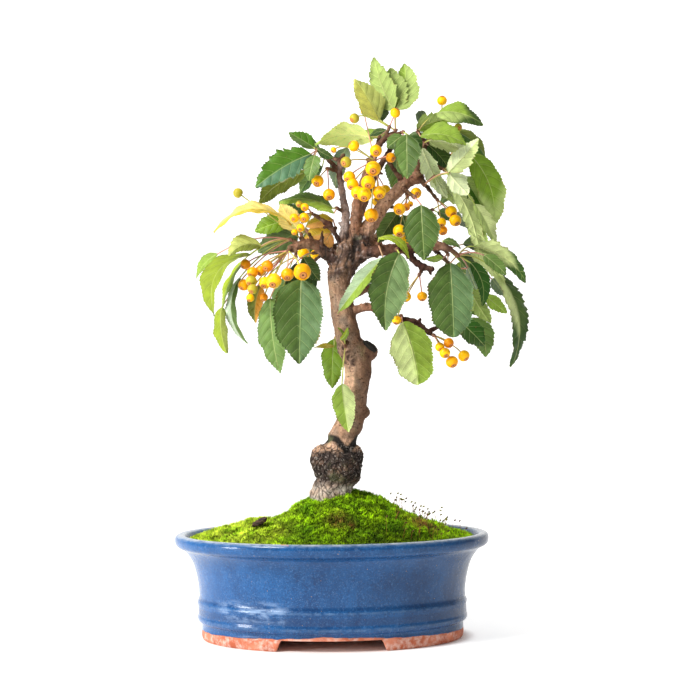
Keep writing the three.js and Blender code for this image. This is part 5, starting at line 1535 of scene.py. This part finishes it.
def leaf_paint(name, matt, glow):
    """A leaf's two faces: pale sunk veins above with painted shade along their grooves, matt and paler
    below, with spots and a scorched edge.
    """
    paint = Paint(name)
    tint, under = paint.colour("tint"), paint.value("under")
    offset, edge = paint.value("offset").abs(), paint.value("edge")
    vein = (0.5 - (paint.value("vein").fract() - 0.5).abs()) * paint.value("gap")
    rib = offset.fall(0.16, 0.5)
    beside = vein.fall(0.1, 0.5) * offset.rise(0.3, 1.2) * edge.fall(0.86, 1)
    # painted shade in the sunk grooves beside the side veins, stronger above than below
    groove_shade = vein.fall(0.4, 2.2) * offset.rise(0.6, 2) * (1 - beside)
    net = paint.cells(520, "DISTANCE_TO_EDGE").fall(0.02, 0.16)
    mottle = paint.noise(160, 4).rise(0.3, 0.72)
    grain = paint.noise(900, 2)
    spots = paint.noise(420, 1).rise(0.735, 0.77) * paint.noise(70, 1).rise(0.5, 0.62)
    scorch = edge.rise(0.9, 1) * paint.noise(120, 3).rise(0.52, 0.66)
    pale = paint.mix(paint.scaled(tint, 1.5), "#d3d98c", 0.3)
    colour = paint.coats(
        paint.scaled(tint, 0.82),
        (paint.scaled(tint, 1.12), mottle),
        (paint.scaled(tint, 0.62), groove_shade * (0.4 - under * 0.2)),
        (pale, (rib * 0.75).most(beside * (under * 0.35 + 0.4))),
        (paint.scaled(tint, 1.25), net * 0.22),
        (SPOT_TINT, spots * 0.75),
        ("#9a7440", scorch * 0.6),
    )
    height = (rib + beside * 0.8) * (under * 2 - 1) * 0.55 + net * 0.16 + grain * 0.22
    normal = paint.bump(height, 0.28)
    rough = under * 0.22 + grain * 0.16 + (matt + mottle * 0.08)
    face = paint.surface({
        "Base Color": colour, "Roughness": rough, "Normal": normal, "Specular IOR Level": 0.24,
    })
    lit = {"Color": paint.scaled(colour, 1.25), "Normal": normal}
    through = paint.node("ShaderNodeBsdfTranslucent", {}, lit)
    return paint.finish(paint.node("ShaderNodeMixShader", {}, {0: glow, 1: face, 2: through}))


def stalk_paint():
    """Leaf stalks and fruit stalks: smooth, faintly ridged, flushed with pink."""
    paint = Paint("stalk")
    tint = paint.colour("tint")
    ridge = paint.noise(1400, 2, at=paint.stretched(1, 1, 0.25))
    colour = paint.coats(
        paint.scaled(tint, 0.85),
        (paint.scaled(tint, 1.18), paint.noise(130, 2).rise(0.35, 0.7)),
        ("#7d4a32", paint.noise(600, 1).rise(0.68, 0.74) * 0.5),
    )
    return paint.finish(paint.surface({
        "Base Color": colour, "Roughness": ridge * 0.2 + 0.38, "Normal": paint.bump(ridge, 0.12),
        "Subsurface Weight": 0.08, "Subsurface Radius": (0.001, 0.001, 0.0004),
    }))


def bud_paint():
    """Bud scales: brown, with painted shade where each runs under the next, and pale hairs at the edge."""
    paint = Paint("bud_scales")
    lap = paint.value("lap")
    hair = paint.noise(1800, 2)
    colour = paint.coats(
        "#7a5038",
        # painted shade: darker where a scale runs under the one that laps over it
        ("#2f1d17", lap.rise(0.55, 1)),
        ("#b29a80", lap.fall(0, 0.16) * hair.rise(0.4, 0.7) * 0.7),
    )
    return paint.finish(paint.surface({
        "Base Color": colour, "Roughness": hair * 0.3 + 0.5, "Normal": paint.bump(hair + lap, 0.15),
    }))


def fruit_paint():
    """A ripe pome: waxy skin, faint dots, and round the eye a brown scar with a dark middle."""
    paint = Paint("fruit_skin")
    tint, pole = paint.colour("tint"), paint.value("pole")
    warm = paint.node("ShaderNodeVectorMath", {"operation": "MULTIPLY"}, {0: tint, 1: (0.92, 0.6, 0.4)})
    blotch = paint.noise(190, 3).rise(0.32, 0.7)
    ragged = pole + paint.noise(900, 2) * 0.12
    dots = paint.cells(620, "F1").fall(0.06, 0.13) * paint.noise(260, 1).rise(0.5, 0.6)
    bruise = paint.noise(75, 2).rise(0.6, 0.67) * pole.rise(0.8, 1.2)
    russet = ragged.fall(0.46, 0.53)
    ring = ragged.rise(0.24, 0.32) * russet
    colour = paint.coats(
        paint.scaled(tint, 0.86),
        (paint.scaled(tint, 1.1), blotch),
        (warm, ragged.fall(0.42, 0.85) * 0.5),
        ("#a8692a", dots * 0.55),
        ("#8a5218", bruise * 0.6),
        ("#c68449", russet),
        ("#8f4f2b", ring.rise(0.35, 0.9) * ragged.rise(0.38, 0.45)),
        ("#4b2a1b", ragged.fall(0.15, 0.22)),
        ("#8a6a2c", ragged.rise(2.86, 3.06) * 0.7),
    )
    skin = paint.noise(1500, 2)
    height = skin * 0.3 + dots * 0.4 - ring * 0.6 + russet * paint.noise(1100, 3)
    return paint.finish(paint.surface({
        "Base Color": colour, "Roughness": russet * 0.4 + skin * 0.1 + 0.3,
        "Normal": paint.bump(height, 0.14), "Specular IOR Level": 0.2,
    }))


def bark_paint():
    """Bark: smooth and flecked with pores on the limbs, cracked and scaly low on the stem."""
    paint = Paint("bark")
    tint, burl, stout = paint.colour("tint"), paint.value("burl"), paint.value("stout")
    patch = paint.noise(150, 5, 0.62).rise(0.28, 0.74)
    streak = paint.noise(420, 4, at=paint.stretched(1, 1, 0.3)).rise(0.3, 0.7)
    fine = paint.noise(1500, 3)
    grain = paint.noise(460, 4, 0.72)
    specks = paint.noise(1100, 3, 0.7).rise(0.58, 0.66)
    pores = paint.cells(300, "F1", at=paint.stretched(0.6, 0.6, 1.4)).fall(0.13, 0.25)
    pores = pores * paint.noise(90, 1).rise(0.4, 0.52) * (1 - burl)
    cracks = paint.cells(230, "DISTANCE_TO_EDGE", at=paint.stretched(1, 1, 0.62)).fall(0.01, 0.11)
    cracks = cracks * (burl * 0.85 + 0.15) * stout
    flecks = paint.noise(520, 5, 0.7).rise(0.53, 0.66) * burl
    algae = paint.noise(75, 3).rise(0.58, 0.74) * stout
    colour = paint.coats(
        paint.scaled(tint, 0.62),
        (paint.scaled(tint, 1.3), patch),
        (paint.scaled(tint, 0.45), grain.fall(0.36, 0.46) * 0.75),
        (paint.scaled(tint, 1.6), grain.rise(0.54, 0.66) * 0.6),
        (paint.scaled(tint, 0.62), streak * 0.5),
        (paint.scaled(tint, 0.35), specks * 0.6),
        ("#3d2a23", pores * 0.8),
        ("#1f1916", cracks * 0.8),
        ("#c2b5ab", flecks * 0.85),
        ("#7d8358", algae * 0.28),
    )
    rays = paint.noise(700, 3, at=paint.stretched(1, 1, 0.2)) * paint.value("cut")
    height = patch * 0.4 + grain * 0.7 + fine * 0.35 - cracks * 1.4 + flecks * 0.5
    height = height + pores * 0.5 + rays * 0.4 + streak * 0.25
    normal = paint.bump(height * (stout * 0.65 + 0.35), 0.95)
    return paint.finish(paint.surface({
        "Base Color": colour, "Roughness": fine * 0.18 + 0.7, "Normal": normal, "Specular IOR Level": 0.15,
    }))


def blue_glaze(paint, cloud, runs, speckle, pits, lime):
    """Clouded blue glaze: pale where it is thin on rim and ribs and deep below, with a painted reflection
    low on the left, painted light at the left end and painted shade towards the right.
    """
    spot = paint.spot()
    high, along = spot.part(2) / MM, spot.part(0) / MM
    grains = paint.cells(850, "F1").fall(0.08, 0.2) * paint.noise(500, 1).rise(0.48, 0.6)
    thin = high.rise(79.6, 82) + high.rise(28.2, 29.3) * high.fall(29.6, 30.8) * 0.5
    thin = thin + high.rise(15.2, 16.6) * high.fall(17.4, 19) * 0.35
    deep = high.rise(30.8, 32.2) * high.fall(32.4, 35) + high.rise(19.2, 21) * high.fall(24.5, 26.5)
    deep = deep + high.rise(70, 71.6) * high.fall(72, 73.4)
    worn = high.rise(81, 82.3) * paint.noise(110, 4).rise(0.3, 0.6)
    low_left = (along + 76).abs().fall(18, 34) * (high - 29).abs().fall(4, 10) * spot.part(1).fall(-0.03, 0)
    # painted reflection: pale streaky blotches low on the left of the wall, for light reflected in the ribs
    painted_reflection = paint.noise(90, 5, 0.7, at=paint.stretched(0.55, 1, 2.4)).rise(0.42, 0.68) * low_left
    blue = paint.coats(
        "#09335f",
        ("#124b80", cloud),
        ("#1f5f98", runs * 0.25),
        # painted light: the glaze paler towards the left end, where the light falls
        ("#336cab", along.fall(-125, -50) * 0.4),
        ("#0b1f47", speckle.rise(0.52, 0.64) * 0.6),
        ("#5f8bbd", speckle.fall(0.3, 0.42) * 0.4),
        ("#86a6cc", grains * 0.5),
        ("#5e8fc4", paint.noise(620, 2).rise(0.58, 0.7) * 0.2),
        ("#7f99b4", thin * paint.noise(200, 4).rise(0.3, 0.62) * 0.5),
        ("#0e2147", deep * 0.3),
        ("#b3bac0", worn * 0.7),
        ("#9db6d6", painted_reflection * 0.5),
    )
    return paint.coats(
        blue,
        # painted shade: the glaze darker towards the right end, away from the light
        (paint.scaled(blue, 0.6), along.rise(-10, 100)),
        ("#b99a78", pits * 0.9),
        ("#9fb0c2", lime * 0.12),
    )


def red_clay(paint, grit, inside):
    """Red clay, bloomed with lime, and stained by the soil inside the pot."""
    return paint.coats(
        "#a9583c",
        ("#cf8266", paint.noise(70, 3).rise(0.35, 0.7)),
        ("#e6d0c4", paint.noise(190, 5, 0.7).rise(0.44, 0.66) * 0.5),
        ("#6e3d2c", grit.rise(0.64, 0.72) * 0.5),
        ("#5c4636", inside * 0.5),
    )


def glaze_paint():
    """A blue glaze over red clay. The glaze stops in a ragged line above the bare, lime-bloomed feet."""
    paint = Paint("pot_glaze_and_clay")
    spot = paint.spot()
    high, aside = spot.part(2) / MM, (spot.part(0) / MM - POT_X).abs()
    inside = 1 - paint.value("outside")
    above_line = high + paint.noise(95, 4) * 3.2 + aside * 0.04 - 13.2
    glazed = above_line.rise(-0.25, 0.25)
    pooled = above_line.fall(0.2, 2.2) * glazed
    covered = glazed * (1 - inside)
    cloud = paint.noise(26, 4, 0.6).rise(0.3, 0.72)
    runs = paint.noise(85, 4, at=paint.stretched(1, 1, 0.22)).rise(0.34, 0.7)
    speckle = paint.noise(900, 3, 0.7)
    pits = paint.cells(210, "F1").fall(0.045, 0.085) * paint.noise(60, 1).rise(0.5, 0.58)
    lime = paint.noise(240, 5, 0.7).rise(0.56, 0.74)
    grit = paint.noise(1200, 3)
    chip = paint.noise(48, 2).rise(0.7, 0.715) * high.rise(79, 80.5)
    colour = paint.coats(
        red_clay(paint, grit, inside),
        (blue_glaze(paint, cloud, runs, speckle, pits, lime), covered),
        ("#cf7f55", chip),
    )
    height = covered * 0.8 + pooled * 0.7 - pits * 0.9
    height = height + grit * (1 - covered) * 0.5 + cloud * 0.4 + runs * 0.3
    rough = (1 - covered) * 0.55 + speckle * 0.12 + lime * 0.2 + pits * 0.3 + 0.2
    return paint.finish(paint.surface({
        "Base Color": colour, "Roughness": rough, "Normal": paint.bump(height, 0.4),
        "Coat Weight": covered * 0.3 * (1 - lime), "Coat Roughness": 0.06, "Specular IOR Level": 0.15,
    }))


def moss_paint(name, depth):
    """Moss: tinted point by point, with the fine broken texture of its tiny leaves and painted shade where
    the bump sinks between them.
    """
    paint = Paint(name)
    tint = paint.colour("tint")
    leafy = paint.cells(1300, "F1").rise(0.1, 0.75)
    patch = paint.noise(300, 4).rise(0.3, 0.7)
    colour = paint.coats(
        paint.scaled(tint, 1.25),
        # painted shade: darker where the bump sinks between the tiny leaves
        (paint.scaled(tint, 0.62), leafy),
        (paint.scaled(tint, 0.8), patch * 0.5),
        ("#d6e07a", paint.noise(1100, 1).rise(0.66, 0.75) * 0.4),
    )
    return paint.finish(paint.surface({
        "Base Color": colour, "Roughness": patch * 0.12 + 0.72, "Normal": paint.bump(1 - leafy, depth),
        "Specular IOR Level": 0.1,
    }))


def soil_paint():
    """Granular bonsai soil, dark and damp, with lighter grains of clay and pumice."""
    paint = Paint("soil_grains")
    grain = paint.cells(420, "F1")
    between = paint.cells(420, "DISTANCE_TO_EDGE").fall(0, 0.12)
    kind = paint.noise(380, 2)
    colour = paint.coats(
        "#3a2a1e",
        ("#6d5137", kind.rise(0.35, 0.65)),
        ("#b9a183", kind.rise(0.66, 0.72)),
        # painted shade: near black in the gaps between the grains
        ("#15100c", between * 0.9),
    )
    return paint.finish(paint.surface({
        "Base Color": colour, "Roughness": kind * 0.15 + 0.8,
        "Normal": paint.bump(1 - grain - between, 1.2),
    }))


def plastic_paint():
    """Black plastic mesh, dusty and scuffed."""
    paint = Paint("mesh_plastic")
    dust = paint.noise(300, 4).rise(0.45, 0.7)
    scuff = paint.noise(1600, 2)
    colour = paint.mix("#1b1c1d", "#6d6256", dust * 0.4)
    return paint.finish(paint.surface({
        "Base Color": colour, "Roughness": dust * 0.3 + scuff * 0.15 + 0.3,
        "Normal": paint.bump(scuff, 0.06),
    }))


def wire_paint():
    """Bent aluminium wire with a dull oxide film and draw marks."""
    paint = Paint("aluminium_wire")
    film = paint.noise(260, 4).rise(0.35, 0.7)
    drawn = paint.noise(2400, 2, at=paint.stretched(0.2, 1, 0.2))
    colour = paint.mix("#b5b3ad", "#77736c", film)
    return paint.finish(paint.surface({
        "Base Color": colour, "Metallic": 1 - film * 0.4, "Roughness": film * 0.3 + drawn * 0.1 + 0.25,
        "Normal": paint.bump(drawn, 0.05),
    }))


def dead_bark_paint():
    """Dead bark: dark layers with pale weathered ridges."""
    paint = Paint("dead_bark")
    layer = paint.noise(520, 4, at=paint.stretched(0.5, 0.5, 2))
    ridge = paint.noise(300, 5, 0.7)
    colour = paint.coats(
        "#1f1714",
        ("#5a4032", layer.rise(0.4, 0.62)),
        ("#a8937d", ridge.rise(0.6, 0.72) * 0.7),
    )
    return paint.finish(paint.surface({
        "Base Color": colour, "Roughness": layer * 0.2 + 0.75, "Normal": paint.bump(layer + ridge, 0.7),
    }))


def floor_paint():
    """White paper that glows evenly, with a painted shadow: it doesn't glow in an oval under the pot."""
    paint = Paint("floor_paper")
    tooth = paint.noise(500, 3)
    spot = paint.spot()
    along, across = (spot.part(0) / MM - POT_X) / 106, spot.part(1) / (81 * MM)
    # painted shadow: the glow fades out inside an oval under the pot
    glow = (along * along + across * across).rise(0.95, 1.2)
    colour = paint.mix("#f3f2f0", "#fbfaf9", tooth)
    return paint.finish(paint.surface({
        "Base Color": colour, "Roughness": tooth * 0.1 + 0.75, "Normal": paint.bump(tooth, 0.05),
        "Emission Color": paint.mix("#000000", "#ffffff", glow), "Emission Strength": 0.5,
    }))


# ---- floor, light and camera ----------------------------------------------------------------------------


def make_floor():
    """A sheet of white paper that sweeps up behind."""
    bend = np.linspace(0, math.pi / 2, 24)
    depth = np.concatenate([[-3000], 1500 + 900 * np.sin(bend), [2400]])
    high = np.concatenate([[0], 900 - 900 * np.cos(bend), [4500]])
    wide = np.array([-4000, 4000])
    points = [[x, y, z] for y, z in zip(depth, high) for x in wide]
    form = Form()
    form.add(points, [[2 * k, 2 * k + 1, 2 * k + 3, 2 * k + 2] for k in range(len(depth) - 1)])
    form.piece("floor", [floor_paint()])


def add_light(name, at, power, size, tint):
    """A round lamp that points at the middle of the tree."""
    lamp = bpy.data.lights.new(name, "AREA")
    lamp.energy = power
    lamp.shape = "DISK"
    lamp.size = size
    lamp.color = tint
    made = bpy.data.objects.new(name, lamp)
    made.location = at
    towards = Vector((0, 0, 0.22)) - Vector(at)
    made.rotation_euler = towards.to_track_quat("-Z", "Y").to_euler()
    bpy.context.scene.collection.objects.link(made)


def make_light():
    world = bpy.data.worlds.new("studio")
    world.use_nodes = True
    sky = world.node_tree.nodes["Background"]
    sky.inputs["Color"].default_value = (1, 1, 1, 1)
    sky.inputs["Strength"].default_value = 0.42
    bpy.context.scene.world = world
    add_light("key", at=(-0.85, -0.75, 1.15), power=25, size=0.5, tint=(1, 0.985, 0.96))
    add_light("window", at=(-1.6, -0.75, 0.32), power=15, size=0.45, tint=(1, 1, 1))
    bpy.context.scene.view_settings.view_transform = "Standard"


PITCH, ROLL = 1.38, -0.55  # how the camera is tipped, in degrees
SENSOR = 36
FOCAL_LENGTH, PICTURE_WIDTH = 1497, 700  # in one unit


def make_camera():
    pitch, roll = math.radians(PITCH), math.radians(ROLL)
    ahead = Vector((0, math.cos(pitch), math.sin(pitch)))
    level = Vector((1, 0, 0))
    upright = level.cross(ahead)
    right = level * math.cos(roll) + upright * math.sin(roll)
    up = upright * math.cos(roll) - level * math.sin(roll)
    camera = bpy.data.cameras.new("camera")
    camera.sensor_width = SENSOR
    camera.lens = SENSOR * FOCAL_LENGTH / PICTURE_WIDTH
    camera.clip_end = 50
    made = bpy.data.objects.new("camera", camera)
    turn = Matrix((right, up, -ahead)).transposed().to_4x4()
    made.matrix_world = Matrix.Translation(EYE * MM) @ turn
    bpy.context.scene.collection.objects.link(made)
    bpy.context.scene.camera = made


# ---- putting it together --------------------------------------------------------------------------------


def make_tree():
    make_trunk(bark_paint())
    stalk, scales = stalk_paint(), bud_paint()
    blades = {
        "green": leaf_paint("leaf_green", matt=0.34, glow=0.12),
        "lime": leaf_paint("leaf_lime", matt=0.4, glow=0.24),
        "pale": leaf_paint("leaf_pale", matt=0.46, glow=0.22),
        "autumn": leaf_paint("leaf_autumn", matt=0.45, glow=0.34),
    }
    for number, (name, colour, start, at, leaves) in enumerate(SPRAYS):
        make_spray(number, name, colour, start, at, leaves, [blades[colour], stalk, scales])
    skin = fruit_paint()
    for number, (name, start, at, fruits) in enumerate(BUNCHES):
        make_bunch(number, name, start, at, fruits, [skin, stalk, scales])


def make_potful():
    make_pot(glaze_paint())
    plastic, steel = plastic_paint(), wire_paint()
    make_drain("left", POT_X - DRAIN_X, plastic, steel)
    make_drain("right", POT_X + DRAIN_X, plastic, steel)
    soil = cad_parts["soil"]
    soil.data.materials.clear()
    soil.data.materials.append(soil_paint())
    make_moss(moss_paint("moss_mat", depth=1.2))
    leafy = moss_paint("moss_leaves", depth=0.3)
    make_shoots(leafy)
    make_capsules(leafy)
    make_flake(dead_bark_paint())


make_tree()
make_potful()
make_floor()
make_light()
make_camera()
